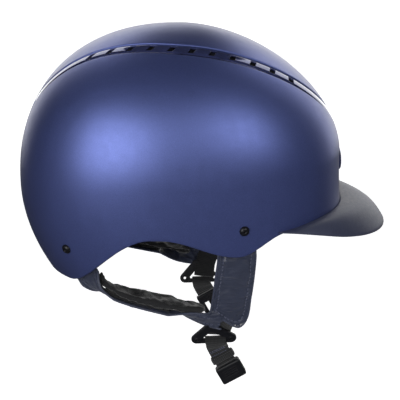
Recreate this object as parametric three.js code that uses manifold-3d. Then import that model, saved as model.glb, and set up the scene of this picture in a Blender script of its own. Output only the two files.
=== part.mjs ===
// Equestrian riding helmet: matte shell with a moulded peak, gloss vent trims either side of
// a crown panel, impact liner with comfort pads, and a three-point harness that ends in a
// side-release buckle. Millimetres. +X is the front, +Y the wearer's left, +Z up.
// The origin is the middle of the head opening, level with the brow.
import * as THREE from 'three';
import { mergeVertices } from 'three/addons/utils/BufferGeometryUtils.js';
import Module from 'manifold-3d';

const wasm = await Module();
wasm.setup();

// ---------------------------------------------------------------- driving dimensions
const SHELL = {
  halfLength: 135,
  halfWidth: 108,
  planPower: 2.3,
  crownHeight: 147,
  equator: { front: 43, side: 35, rear: 19 },
  profilePower: { front: 1.78, side: 2.05, rear: 2.23 },
  tuckIn: { front: -0.09, side: 0.09, rear: 0.32 },
  wall: 4.2,
  columns: 54,
};
// Height of the shell's lower edge against the plan angle from the front, in degrees.
const RIM = [
  { angle: 0, height: -5 },
  { angle: 50, height: -6 },
  { angle: 69, height: -22 },
  { angle: 102, height: -6 },
  { angle: 106, height: -6 },
  { angle: 148, height: -51 },
  { angle: 180, height: -52 },
];
// Egg-shaped plan outlines on the crown: the inner one bounds the panel, the outer one the trims.
const CROWN_INNER = { middle: 5, halfLength: 121, halfWidth: 49.5, swell: 0.28 };
const CROWN_OUTER = { middle: 4.5, halfLength: 127.5, halfWidth: 59, swell: 0.24 };
const CROWN = { rebate: 3.2, panel: 2.4, trimTop: 0.6, trimBottom: 1.6, meshTop: 1.95, meshBottom: 2.4, gap: 0.4 };
const VENT_SLOT = { count: 11, firstX: -75, pitch: 16.3, width: 4.6, slant: 0.55 };
const REAR_VENT_HALF_ANGLE = 0.17;
const PEAK = {
  rootX: 70, reach: 110, halfWidth: 98, power: 1.72, tipHeight: -24, endHeight: -4,
  rootHeight: 1.2, roll: 3.1, thickness: 3, shellGap: 0.4, columns: 34, rows: 7,
};
const LINER = {
  outer: 5.2,
  cavity: { front: 32, side: 25, rear: 32, crown: 31 },
  edgeLift: 7,
  columns: 38,
};
const PAD = { gap: 1.6, thickness: 5 };
const BADGE = { height: 30, halfWidth: 13.5, halfHeight: 11, proud: 5 };
const SCREWS = {
  front: { degrees: 67.6, height: 0 },
  rear: { degrees: 141.3, height: -20 },
};
const SCREW = { headRadius: 4, headHeight: 2.6, shankRadius: 2, hole: 2.4, nutRadius: 4.6, nutHeight: 1.6 };
const STRAP = { width: 19, thickness: 1.5, layerGap: 0.6, anchorInset: 5.6, channelInset: 13, channelHalfAngle: 8.5 };
const LEATHER = { thickness: 1.8, frontWidth: 31, rearWidth: 27 };
const LINING = { thickness: 5 };
// Where each strap run leaves the shell: x, distance out from the middle, height.
const HARNESS_TOP = { front: [38.5, 93.5, -20], rear: [-77, 68.5, -45] };
const DIVIDER = {
  barCentre: [23, 68, -108], lean: 18, tilt: 0, earSpacing: 28.5, earRadius: 4.6, earRise: 2.9, earHole: 1.3,
  apexShift: -3, apexRise: 16, apexRadius: 4.2, thickness: 3, windowHalf: 9.5, windowRise: 3.3, windowTop: 10.5,
};
const CHIN = { width: 17, shift: 1.4, loopRadius: 3.5, lean: 28, rightLength: 20, leftLength: 12, tailLength: 10 };
const BUCKLE = {
  width: 22, thickness: 8.6, wall: 1.6, socketLength: 16, baseLength: 9,
  prongLength: 14, prongWidth: 3.4, prongThickness: 4, tongueWidth: 4.6, hingeGap: 0.4,
};

// ---------------------------------------------------------------- materials
function material(colour, roughness, metalness) {
  return new THREE.MeshStandardMaterial({ color: colour, roughness, metalness });
}

const MATERIALS = {
  shell: material(0x2c3768, 0.42, 0.55),
  gloss: material(0x10152f, 0.08, 0.1),
  peak: material(0x343a55, 0.5, 0.4),
  foam: material(0x1c1d20, 0.9, 0),
  lining: material(0x17181a, 0.95, 0),
  leather: material(0x2b3146, 0.5, 0),
  webbing: material(0x141517, 0.85, 0),
  plastic: material(0x18191c, 0.45, 0),
  screw: material(0x0e0f11, 0.35, 0),
  steel: material(0xa8abb0, 0.35, 0.9),
};

const helmet = new THREE.Group();
helmet.name = 'riding_helmet';

function addPart(name, geometry, slot) {
  geometry.computeVertexNormals();
  const mesh = new THREE.Mesh(geometry, MATERIALS[slot]);
  mesh.name = name;
  helmet.add(mesh);
  return mesh;
}

// ---------------------------------------------------------------- solids and booleans
function toSolid(geometry) {
  const bare = new THREE.BufferGeometry();
  bare.setAttribute('position', geometry.getAttribute('position').clone());
  if (geometry.index) bare.setIndex(geometry.index.clone());
  const merged = mergeVertices(bare, 1e-4);
  return new wasm.Manifold(new wasm.Mesh({
    numProp: 3,
    vertProperties: new Float32Array(merged.getAttribute('position').array),
    triVerts: new Uint32Array(merged.index.array),
  }));
}

function toGeometry(solid) {
  const mesh = solid.getMesh();
  const geometry = new THREE.BufferGeometry();
  geometry.setAttribute('position', new THREE.BufferAttribute(mesh.vertProperties, 3));
  geometry.setIndex(new THREE.BufferAttribute(mesh.triVerts, 1));
  return geometry;
}

function cut(geometry, tools) {
  let solid = toSolid(geometry);
  for (const tool of tools) solid = solid.subtract(toSolid(tool));
  return toGeometry(solid);
}

function join(geometries) {
  const solids = geometries.map(toSolid);
  return toGeometry(solids.reduce((whole, piece) => whole.add(piece)));
}

// Reflects a solid across the XZ plane and keeps its faces pointing out.
function mirrored(geometry) {
  const copy = geometry.clone();
  copy.applyMatrix4(new THREE.Matrix4().makeScale(1, -1, 1));
  const index = copy.index ? Array.from(copy.index.array) : [...Array(copy.getAttribute('position').count).keys()];
  for (let i = 0; i < index.length; i += 3) {
    const second = index[i + 1];
    index[i + 1] = index[i + 2];
    index[i + 2] = second;
  }
  copy.setIndex(index);
  return copy;
}

// A closed solid from matching loops of points, with flat fans over its first and last loop.
function loft(loops) {
  const size = loops[0].length;
  const positions = loops.flat().flatMap((point) => point.toArray());
  const index = [];
  for (let row = 0; row + 1 < loops.length; row += 1) {
    for (let i = 0; i < size; i += 1) {
      const a = row * size + i;
      const b = row * size + ((i + 1) % size);
      index.push(a, b, b + size, a, b + size, a + size);
    }
  }
  const last = (loops.length - 1) * size;
  for (let i = 1; i + 1 < size; i += 1) {
    index.push(0, i + 1, i, last, last + i, last + i + 1);
  }
  const geometry = new THREE.BufferGeometry();
  geometry.setAttribute('position', new THREE.Float32BufferAttribute(positions, 3));
  geometry.setIndex(index);
  return geometry;
}

// ---------------------------------------------------------------- the dome's surface
function byDirection(values, angle) {
  const facing = Math.cos(angle);
  const end = facing > 0 ? values.front : values.rear;
  return values.side + (end - values.side) * facing * facing;
}

function insetAt(inset, angle) {
  return typeof inset === 'number' ? inset : byDirection(inset, angle);
}

function planRadius(angle, inset) {
  const along = Math.abs(Math.cos(angle)) / SHELL.halfLength;
  const across = Math.abs(Math.sin(angle)) / SHELL.halfWidth;
  const round = along ** SHELL.planPower + across ** SHELL.planPower;
  return round ** (-1 / SHELL.planPower) - insetAt(inset, angle);
}

function crownAt(inset) {
  return SHELL.crownHeight - (typeof inset === 'number' ? inset : inset.crown);
}

// Distance from the Z axis to the dome at one plan angle and height.
function domeRadius(angle, height, inset) {
  const equator = byDirection(SHELL.equator, angle);
  const widest = planRadius(angle, inset);
  if (height <= equator) {
    const below = (equator - height) / 100;
    return widest * (1 - byDirection(SHELL.tuckIn, angle) * below * below);
  }
  const power = byDirection(SHELL.profilePower, angle);
  const rise = Math.min((height - equator) / (crownAt(inset) - equator), 1);
  return widest * (1 - rise ** power) ** (1 / power);
}

function domePoint(angle, height, inset) {
  const radius = domeRadius(angle, height, inset);
  return new THREE.Vector3(radius * Math.cos(angle), radius * Math.sin(angle), height);
}

// The point of the dome over one plan position.
function domeOver(x, y, inset) {
  const angle = Math.atan2(y, x);
  const equator = byDirection(SHELL.equator, angle);
  const power = byDirection(SHELL.profilePower, angle);
  const share = Math.min(Math.hypot(x, y) / planRadius(angle, inset), 0.9999);
  const height = equator + (crownAt(inset) - equator) * (1 - share ** power) ** (1 / power);
  return new THREE.Vector3(x, y, height);
}

function domeNormal(angle, height) {
  const step = 0.02;
  const round = domePoint(angle + step, height, 0).sub(domePoint(angle - step, height, 0));
  const up = domePoint(angle, height + 2, 0).sub(domePoint(angle, height - 2, 0));
  return round.cross(up).normalize();
}

function rimHeight(angle) {
  const turn = Math.abs(THREE.MathUtils.euclideanModulo(angle + Math.PI, 2 * Math.PI) - Math.PI);
  const degrees = THREE.MathUtils.radToDeg(turn);
  const next = Math.max(RIM.findIndex((key) => key.angle >= degrees), 1);
  const low = RIM[next - 1];
  const high = RIM[next];
  const share = THREE.MathUtils.smoothstep(degrees, low.angle, high.angle);
  return low.height + (high.height - low.height) * share;
}

// One meridian of the dome, from its lower edge to just short of the crown.
function meridian(angle, inset, lift, rows) {
  const equator = byDirection(SHELL.equator, angle);
  const power = byDirection(SHELL.profilePower, angle);
  const bottom = rimHeight(angle) + lift;
  const top = crownAt(inset);
  const points = [];
  const lowRows = Math.round(rows / 4);
  for (let i = 0; i < lowRows; i += 1) {
    points.push(domePoint(angle, bottom + ((equator - bottom) * i) / lowRows, inset));
  }
  const highRows = rows - lowRows;
  for (let i = 0; i < highRows; i += 1) {
    const sweep = (i / highRows) * (Math.PI / 2);
    const rise = Math.sin(sweep) ** (2 / power);
    points.push(domePoint(angle, equator + (top - equator) * rise, inset));
  }
  return points;
}

// A bowl-shaped wall between two insets of the dome, open at the bottom.
function domeWall(outer, inner, outerLift, innerLift, columns, rows) {
  const positions = [];
  const index = [];
  const layer = (inset, lift) => {
    const first = positions.length / 3;
    for (let column = 0; column < columns; column += 1) {
      const angle = (column / columns) * 2 * Math.PI;
      meridian(angle, inset, lift, rows).forEach((point) => positions.push(...point.toArray()));
    }
    positions.push(0, 0, crownAt(inset));
    return first;
  };
  const outside = layer(outer, outerLift);
  const inside = layer(inner, innerLift);
  const poleOffset = columns * rows;
  for (let column = 0; column < columns; column += 1) {
    const next = (column + 1) % columns;
    for (const [first, flip] of [[outside, false], [inside, true]]) {
      const a = first + column * rows;
      const b = first + next * rows;
      const quad = (i, j, k) => index.push(...(flip ? [i, k, j] : [i, j, k]));
      for (let row = 0; row + 1 < rows; row += 1) {
        quad(a + row, b + row, b + row + 1);
        quad(a + row, b + row + 1, a + row + 1);
      }
      quad(a + rows - 1, b + rows - 1, first + poleOffset);
    }
    const outA = outside + column * rows;
    const outB = outside + next * rows;
    const inA = inside + column * rows;
    const inB = inside + next * rows;
    index.push(outA, inB, outB, outA, inA, inB);
  }
  const geometry = new THREE.BufferGeometry();
  geometry.setAttribute('position', new THREE.Float32BufferAttribute(positions, 3));
  geometry.setIndex(index);
  return geometry;
}

// A pad that lies against the dome between two plan angles and two heights.
function domeSlab(startDegrees, endDegrees, heights, outer, thickness, steps) {
  const loops = [];
  const inner = {};
  for (const key of ['front', 'side', 'rear', 'crown']) inner[key] = outer[key] + thickness;
  for (let i = 0; i <= steps; i += 1) {
    const share = i / steps;
    const angle = THREE.MathUtils.degToRad(startDegrees + (endDegrees - startDegrees) * share);
    const taper = Math.sin(Math.PI * (0.12 + 0.76 * share)) ** 0.35;
    const [low, high] = heights(angle);
    const middle = (low + high) / 2;
    const half = ((high - low) / 2) * taper;
    const depth = (point, back) => domePoint(angle, point, back);
    loops.push([
      depth(middle - half, outer), depth(middle - half * 0.8, inner),
      depth(middle, inner), depth(middle + half * 0.8, inner),
      depth(middle + half, outer), depth(middle, outer),
    ]);
  }
  return loft(loops);
}

// ---------------------------------------------------------------- crown outlines
function eggPoint(egg, angle, grow) {
  const swell = 1 + egg.swell * Math.cos(angle);
  return new THREE.Vector2(
    egg.middle + (egg.halfLength + grow) * Math.cos(angle),
    (egg.halfWidth + grow) * Math.sin(angle) * swell,
  );
}

// A cap of the dome inside one egg outline, between two insets.
function crownCap(egg, grow, top, bottom, steps, rings) {
  const positions = [];
  const index = [];
  const layer = (inset) => {
    const first = positions.length / 3;
    positions.push(...domeOver(egg.middle, 0, inset).toArray());
    for (let ring = 1; ring <= rings; ring += 1) {
      for (let i = 0; i < steps; i += 1) {
        const edge = eggPoint(egg, (i / steps) * 2 * Math.PI, grow);
        const share = Math.sin(((ring / rings) * Math.PI) / 2);
        const x = egg.middle + (edge.x - egg.middle) * share;
        positions.push(...domeOver(x, edge.y * share, inset).toArray());
      }
    }
    return first;
  };
  const outside = layer(top);
  const inside = layer(bottom);
  const at = (first, ring, i) => first + 1 + (ring - 1) * steps + (i % steps);
  for (let i = 0; i < steps; i += 1) {
    index.push(outside, at(outside, 1, i), at(outside, 1, i + 1));
    index.push(inside, at(inside, 1, i + 1), at(inside, 1, i));
    for (let ring = 1; ring < rings; ring += 1) {
      const [a, b] = [at(outside, ring, i), at(outside, ring, i + 1)];
      const [c, d] = [at(outside, ring + 1, i), at(outside, ring + 1, i + 1)];
      index.push(a, c, d, a, d, b);
      const shift = inside - outside;
      index.push(a + shift, d + shift, c + shift, a + shift, b + shift, d + shift);
    }
    const [a, b] = [at(outside, rings, i), at(outside, rings, i + 1)];
    const [c, d] = [at(inside, rings, i), at(inside, rings, i + 1)];
    index.push(a, c, d, a, d, b);
  }
  const geometry = new THREE.BufferGeometry();
  geometry.setAttribute('position', new THREE.Float32BufferAttribute(positions, 3));
  geometry.setIndex(index);
  return geometry;
}

// A strip of the dome between the two egg outlines, over a range of outline angles.
function crownStrip(start, end, innerGrow, outerGrow, top, bottom, steps) {
  const loops = [];
  for (let i = 0; i <= steps; i += 1) {
    const angle = start + ((end - start) * i) / steps;
    const near = eggPoint(CROWN_INNER, angle, innerGrow);
    const far = eggPoint(CROWN_OUTER, angle, outerGrow);
    loops.push([
      domeOver(near.x, near.y, top), domeOver(far.x, far.y, top),
      domeOver(far.x, far.y, bottom), domeOver(near.x, near.y, bottom),
    ]);
  }
  return loft(loops);
}

// ---------------------------------------------------------------- straps
// A flat strap along stations of {at, across, width}. Its outer face looks along travel × across,
// and shift moves it that way, so that layers of one strap can be stacked.
function strap(stations, thickness, shift, steps) {
  const path = new THREE.CatmullRomCurve3(stations.map((s) => new THREE.Vector3(...s.at)), false, 'centripetal');
  const spans = stations.length - 1;
  const loops = [];
  for (let i = 0; i <= steps; i += 1) {
    const share = i / steps;
    const span = Math.min(Math.floor(share * spans), spans - 1);
    const blend = share * spans - span;
    const from = stations[span];
    const to = stations[span + 1];
    const across = new THREE.Vector3(...from.across).normalize()
      .lerp(new THREE.Vector3(...to.across).normalize(), blend);
    const travel = path.getTangent(share);
    across.addScaledVector(travel, -across.dot(travel)).normalize();
    const out = travel.clone().cross(across).normalize();
    const centre = path.getPoint(share).addScaledVector(out, shift);
    const half = (from.width + (to.width - from.width) * blend) / 2;
    const corner = (side, depth) => centre.clone()
      .addScaledVector(across, half * side).addScaledVector(out, (thickness / 2) * depth);
    const bevel = 1 - thickness / 2 / half;
    loops.push([
      corner(1, 0.3), corner(bevel, 1), corner(-bevel, 1), corner(-1, 0.3),
      corner(-1, -0.3), corner(-bevel, -1), corner(bevel, -1), corner(1, -0.3),
    ]);
  }
  return loft(loops);
}

// The strap runs of the right-hand side, each as a centre line with its width direction.
const FRONT_RUN = [
  { at: [38.5, -93.5, -23], across: [1, 0, 0] },
  { at: [37.5, -89, -42], across: [1, 0, -0.03] },
  { at: [36, -83.5, -62], across: [1, 0, -0.06] },
  { at: [34, -78.5, -79], across: [1, 0, -0.1] },
];
const FRONT_WEBBING_END = { at: [31, -76.4, -93], across: [1, 0, -0.1] };
const FRONT_LEATHER_END = { at: [29, -77.4, -89], across: [1, 0, -0.25] };
const REAR_RUN = [
  { at: [-76, -68.6, -48], across: [0.57, -0.64, 0.53] },
  { at: [-69, -72, -55], across: [0.25, -0.92, 0.3] },
  { at: [-58, -73, -60.5], across: [0.05, -0.99, 0.12] },
  { at: [-40, -74, -66.5], across: [0, -0.99, 0.08] },
  { at: [-15, -74, -73.5], across: [0, -0.99, 0] },
  { at: [15, -74.5, -79.5], across: [0, -0.96, 0.2] },
];
const REAR_SEAM = { at: [20.5, -75, -81], across: [0, -0.9, 0.3] };
const LAYER = {
  leather: STRAP.thickness / 2 + STRAP.layerGap + LEATHER.thickness / 2,
  lining: -(STRAP.thickness / 2 + STRAP.layerGap + LINING.thickness / 2),
};

function widened(stations, width, ends = 1) {
  return stations.map((station, i) => ({
    ...station,
    width: i === 0 || i === stations.length - 1 ? width * ends : width,
  }));
}

// ---------------------------------------------------------------- shell and what is fixed to it
function screwAxis(place) {
  const angle = -THREE.MathUtils.degToRad(place.degrees);
  const origin = domePoint(angle, place.height, 0);
  const normal = domeNormal(angle, place.height);
  const turn = new THREE.Quaternion().setFromUnitVectors(new THREE.Vector3(0, 1, 0), normal);
  return new THREE.Matrix4().compose(origin, turn, new THREE.Vector3(1, 1, 1));
}

function shaftTool(place, radius) {
  return new THREE.CylinderGeometry(radius, radius, 40, 16).applyMatrix4(screwAxis(place));
}

function bothSides(tools) {
  return [...tools, ...tools.map(mirrored)];
}

const screwPlaces = Object.values(SCREWS);

function buildShell() {
  const wall = domeWall(0, SHELL.wall, 0, 0, SHELL.columns, 14);
  const rebate = crownCap(CROWN_OUTER, CROWN.gap, -4, CROWN.rebate, 64, 7);
  const holes = bothSides(screwPlaces.map((place) => shaftTool(place, SCREW.hole)));
  addPart('outer_shell', cut(wall, [rebate, ...holes]), 'shell');
  addPart('crown_panel', crownCap(CROWN_INNER, -CROWN.gap, 0, CROWN.panel, 56, 6), 'shell');
}

function ventSlots() {
  const slots = [];
  for (let i = 0; i < VENT_SLOT.count; i += 1) {
    const x = VENT_SLOT.firstX + i * VENT_SLOT.pitch;
    const angle = -Math.acos((x - CROWN_OUTER.middle) / CROWN_OUTER.halfLength);
    const near = eggPoint(CROWN_INNER, angle, 0);
    const far = eggPoint(CROWN_OUTER, angle, 0);
    const middle = near.clone().add(far).multiplyScalar(0.5);
    const length = near.distanceTo(far) * 0.62;
    const slot = new THREE.BoxGeometry(VENT_SLOT.width, length, 30);
    const slant = new THREE.Matrix4().makeShear(0, 0, VENT_SLOT.slant, 0, 0, 0);
    slot.applyMatrix4(slant);
    slot.rotateZ(Math.atan2(far.y - near.y, far.x - near.x) + Math.PI / 2);
    slot.translate(middle.x, middle.y, domeOver(middle.x, middle.y, 0).z);
    slots.push(slot);
  }
  return slots;
}

function buildVents() {
  const start = -Math.PI + REAR_VENT_HALF_ANGLE;
  const end = -0.004;
  const strip = crownStrip(start, end, CROWN.gap, -CROWN.gap, CROWN.trimTop, CROWN.trimBottom, 36);
  const trim = cut(strip, ventSlots());
  addPart('right_vent_trim', trim, 'gloss');
  addPart('left_vent_trim', mirrored(trim), 'gloss');
  const mesh = crownStrip(start, end, CROWN.gap, -CROWN.gap, CROWN.meshTop, CROWN.meshBottom, 26);
  addPart('right_vent_mesh', mesh, 'plastic');
  addPart('left_vent_mesh', mirrored(mesh), 'plastic');
  const half = REAR_VENT_HALF_ANGLE - 0.006;
  const rear = crownStrip(Math.PI - half, Math.PI + half, CROWN.gap, -CROWN.gap, 1.3, CROWN.meshBottom, 4);
  addPart('rear_vent_grille', rear, 'plastic');
}

function buildBadge() {
  const front = domeRadius(0, BADGE.height, 0);
  const lens = new THREE.SphereGeometry(1, 20, 12);
  lens.scale(BADGE.proud + 1.2, BADGE.halfWidth, BADGE.halfHeight);
  lens.translate(front - 1.2, 0, BADGE.height);
  const behind = domeWall(-CROWN.gap, 40, 0, 0, SHELL.columns, 14);
  addPart('front_badge', cut(lens, [behind]), 'gloss');
}

function peakEdge(sweep) {
  const power = 2 / PEAK.power;
  const across = Math.sign(Math.sin(sweep)) * Math.abs(Math.sin(sweep)) ** power;
  const drop = PEAK.endHeight - PEAK.tipHeight;
  return new THREE.Vector3(
    PEAK.rootX + PEAK.reach * Math.cos(sweep) ** power,
    PEAK.halfWidth * across,
    PEAK.tipHeight + drop * Math.abs(across) ** 3,
  );
}

function buildPeak() {
  const loops = [];
  const span = Math.PI / 2 - 0.09;
  for (let i = 0; i <= PEAK.columns; i += 1) {
    const edge = peakEdge(-span + (2 * span * i) / PEAK.columns);
    const root = domePoint(Math.atan2(edge.y, edge.x), PEAK.rootHeight, -PEAK.shellGap);
    const top = [];
    const bottom = [];
    for (let row = 0; row <= PEAK.rows; row += 1) {
      const share = Math.sin(((row / PEAK.rows) * Math.PI) / 2);
      const point = root.clone().lerp(edge, share);
      point.z = root.z + (edge.z - root.z) * share ** PEAK.roll;
      top.push(point);
      const under = point.clone();
      under.z -= PEAK.thickness * (row === PEAK.rows ? 0.5 : 1);
      bottom.unshift(under);
    }
    loops.push([...top, ...bottom]);
  }
  addPart('peak', loft(loops), 'peak');
}

// A block of the dome between two insets, two plan angles and two heights.
function domeBlock(startDegrees, endDegrees, low, high, outer, inner, steps) {
  const loops = [];
  for (let i = 0; i <= steps; i += 1) {
    const angle = THREE.MathUtils.degToRad(startDegrees + ((endDegrees - startDegrees) * i) / steps);
    loops.push([
      domePoint(angle, low, outer), domePoint(angle, low, inner),
      domePoint(angle, high, inner), domePoint(angle, high, outer),
    ]);
  }
  return loft(loops);
}

function buildLiner() {
  const foam = domeWall(LINER.outer, LINER.cavity, LINER.edgeLift, LINER.edgeLift, LINER.columns, 10);
  const channels = screwPlaces.map((place) => domeBlock(
    -place.degrees - STRAP.channelHalfAngle,
    -place.degrees + STRAP.channelHalfAngle,
    place.height - 34,
    place.height + 13,
    LINER.outer - 2,
    STRAP.channelInset,
    4,
  ));
  addPart('impact_liner', cut(foam, bothSides(channels)), 'foam');

  const against = {};
  for (const [key, depth] of Object.entries(LINER.cavity)) against[key] = depth + PAD.gap;
  const slab = (start, end, heights, steps) => domeSlab(start, end, heights, against, PAD.thickness, steps);
  addPart('brow_pad', slab(-52, 52, () => [4, 32], 14), 'lining');
  addPart('nape_pad', slab(146, 214, () => [-34, 2], 9), 'lining');
  const side = slab(-122, -64, () => [14, 46], 8);
  addPart('right_side_pad', side, 'lining');
  addPart('left_side_pad', mirrored(side), 'lining');
  const crown = crownCap({ middle: 0, halfLength: 62, halfWidth: 34, swell: 0 }, 0, against, {
    ...against, crown: against.crown + PAD.thickness, front: against.front + 1, side: against.side + 1,
    rear: against.rear + 1,
  }, 28, 3);
  addPart('crown_pad', crown, 'lining');
}

function buildScrews() {
  for (const [place, spot] of Object.entries(SCREWS)) {
    const axis = screwAxis(spot);
    const inside = SHELL.wall + 6.4;
    const profile = [
      [0, SCREW.headHeight], [SCREW.headRadius * 0.55, SCREW.headHeight * 0.82],
      [SCREW.headRadius * 0.88, SCREW.headHeight * 0.45], [SCREW.headRadius, CROWN.gap],
      [SCREW.shankRadius, CROWN.gap], [SCREW.shankRadius, -inside], [0, -inside],
    ].reverse().map(([radius, height]) => new THREE.Vector2(radius, height));
    const screw = new THREE.LatheGeometry(profile, 14).applyMatrix4(axis);
    addPart(`right_${place}_screw`, screw, 'screw');
    addPart(`left_${place}_screw`, mirrored(screw), 'screw');
    const ring = [
      [SCREW.hole, 0], [SCREW.nutRadius, 0], [SCREW.nutRadius, SCREW.nutHeight], [SCREW.hole, SCREW.nutHeight],
      [SCREW.hole, 0],
    ].map(([radius, height]) => new THREE.Vector2(radius, height - inside + 0.4));
    const nut = new THREE.LatheGeometry(ring, 14).applyMatrix4(axis);
    addPart(`right_${place}_nut`, nut, 'steel');
    addPart(`left_${place}_nut`, mirrored(nut), 'steel');
  }
}

function buildAnchorStraps() {
  for (const [place, spot] of Object.entries(SCREWS)) {
    const angle = -THREE.MathUtils.degToRad(spot.degrees);
    const [x, out, z] = HARNESS_TOP[place];
    const run = [
      { at: domePoint(angle, spot.height + 9, STRAP.anchorInset + 1.2).toArray() },
      { at: domePoint(angle, spot.height, STRAP.anchorInset + 1.2).toArray() },
      { at: domePoint(angle, spot.height - 8, STRAP.anchorInset + 1.6).toArray() },
      { at: [x, -out, z + (place === 'front' ? 1.2 : 5.4)] },
    ];
    const ahead = new THREE.Vector3(0, 0, 1).cross(domeNormal(angle, spot.height)).toArray();
    const across = place === 'front' ? [ahead, ahead, ahead, [1, 0, 0]] : [ahead, ahead, ahead, [0.6, -0.66, 0.35]];
    const stations = run.map((station, i) => ({ ...station, across: across[i], width: STRAP.width }));
    const end = cut(strap(stations, STRAP.thickness, 0, 8), [shaftTool(spot, SCREW.hole)]);
    addPart(`right_${place}_anchor_strap`, end, 'webbing');
    addPart(`left_${place}_anchor_strap`, mirrored(end), 'webbing');
  }
}

// ---------------------------------------------------------------- harness
function dividerFrame(lean) {
  const [x, out, z] = DIVIDER.barCentre;
  const up = new THREE.Vector3(0, -Math.sin(lean), Math.cos(lean));
  const tilt = THREE.MathUtils.degToRad(DIVIDER.tilt);
  const ahead = new THREE.Vector3(Math.cos(tilt), 0, -Math.sin(tilt));
  up.addScaledVector(ahead, -up.dot(ahead)).normalize();
  const frame = new THREE.Matrix4().makeBasis(ahead, up, ahead.clone().cross(up));
  return frame.setPosition(x, -out, z);
}

function hullOfDiscs(discs, thickness) {
  const solids = discs.map(([x, y, radius]) => {
    const disc = new THREE.CylinderGeometry(radius, radius, thickness, 18);
    disc.rotateX(Math.PI / 2);
    disc.translate(x, y, 0);
    return toSolid(disc);
  });
  return toGeometry(wasm.Manifold.hull(solids));
}

function buildDivider() {
  const ear = DIVIDER.earSpacing / 2;
  const plate = hullOfDiscs([
    [-ear, DIVIDER.earRise, DIVIDER.earRadius],
    [ear, DIVIDER.earRise, DIVIDER.earRadius],
    [DIVIDER.apexShift, DIVIDER.apexRise, DIVIDER.apexRadius],
  ], DIVIDER.thickness);
  const window = hullOfDiscs([
    [-DIVIDER.windowHalf, DIVIDER.windowRise, 1.2],
    [DIVIDER.windowHalf, DIVIDER.windowRise, 1.2],
    [DIVIDER.apexShift, DIVIDER.windowTop, 1.2],
  ], DIVIDER.thickness * 3);
  const holes = [-ear, ear].map((x) => {
    const hole = new THREE.CylinderGeometry(DIVIDER.earHole, DIVIDER.earHole, 12, 12);
    hole.rotateX(Math.PI / 2);
    return hole.translate(x, DIVIDER.earRise, 0);
  });
  return cut(plate, [window, ...holes]).applyMatrix4(dividerFrame(THREE.MathUtils.degToRad(DIVIDER.lean)));
}

function buildHarness() {
  const parts = {
    front_webbing: [strap(widened([...FRONT_RUN, FRONT_WEBBING_END], STRAP.width), STRAP.thickness, 0, 12), 'webbing'],
    rear_webbing: [strap(widened(REAR_RUN.slice(0, 5), STRAP.width), STRAP.thickness, 0, 14), 'webbing'],
    leather_pad: [join([
      strap(widened([...FRONT_RUN, FRONT_LEATHER_END], LEATHER.frontWidth, 0.9), LEATHER.thickness, LAYER.leather, 12),
      strap(widened([...REAR_RUN, REAR_SEAM], LEATHER.rearWidth), LEATHER.thickness, LAYER.leather, 18),
    ]), 'leather'],
    front_lining: [strap(widened(FRONT_RUN, LEATHER.frontWidth - 3), LINING.thickness, LAYER.lining, 10), 'lining'],
    rear_lining: [strap(widened(REAR_RUN, LEATHER.rearWidth - 3), LINING.thickness, LAYER.lining, 15), 'lining'],
    strap_divider: [buildDivider(), 'plastic'],
  };
  for (const [name, [geometry, slot]] of Object.entries(parts)) {
    addPart(`right_${name}`, geometry, slot);
    addPart(`left_${name}`, mirrored(geometry), slot);
  }
}

// Chin webbing folded round the divider's bar: a sewn tail behind, the long leg in front.
function chinWebbing(length) {
  const radius = CHIN.loopRadius;
  const path = [[-0.95, -CHIN.tailLength], [-1.7, -6.5], [-2.9, -3]];
  for (let i = 0; i <= 6; i += 1) {
    const angle = Math.PI - (i / 6) * Math.PI;
    path.push([radius * Math.cos(angle), radius * Math.sin(angle)]);
  }
  path.push([2.9, -3], [1.7, -6.5], [0.95, -length]);
  const lean = Math.tan(THREE.MathUtils.degToRad(CHIN.lean));
  const sway = (depth) => (depth < 6 ? Math.max(depth, 0) ** 2 / 12 : depth - 3) * lean;
  const stations = path.map(([z, y]) => ({
    at: [CHIN.shift + sway(-y), y, z],
    across: [1, 0, 0],
    width: CHIN.width,
  }));
  return strap(stations, STRAP.thickness, 0, 2 * (path.length - 1));
}

function chinFrame(length) {
  const lean = THREE.MathUtils.degToRad(CHIN.lean);
  const shift = CHIN.shift + (length - 3) * Math.tan(lean);
  const local = new THREE.Matrix4().makeRotationZ(lean).setPosition(shift, -length, 0.95);
  return dividerFrame(0).multiply(local);
}

function buildKeeper() {
  const outer = new THREE.BoxGeometry(CHIN.width + 3.4, 5, 7.4);
  const inner = new THREE.BoxGeometry(CHIN.width + 1, 9, 4.6);
  return cut(outer, [inner]);
}

function buildSocket() {
  const { width, thickness, socketLength, wall } = BUCKLE;
  const body = new THREE.BoxGeometry(width, socketLength, thickness, 1, 1, 1);
  const mouth = new THREE.BoxGeometry(width - 2 * wall, socketLength, thickness - 2 * wall);
  mouth.translate(0, -wall * 1.5, 0);
  const windows = new THREE.BoxGeometry(width * 2, 7, thickness - 2 * wall);
  windows.translate(0, 1.5, 0);
  return cut(body, [mouth, windows]).translate(0, -socketLength / 2 - 0.5, 0);
}

function buildPlug() {
  const { width, thickness, baseLength, tongueWidth, prongLength } = BUCKLE;
  const base = new THREE.BoxGeometry(width, baseLength, thickness - 3);
  base.translate(0, -baseLength / 2, 0);
  const tongue = new THREE.BoxGeometry(tongueWidth, prongLength, 2.6);
  tongue.translate(0, -baseLength - prongLength / 2 + 0.5, 0);
  return join([base, tongue]).translate(0, -0.5, 0);
}

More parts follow.
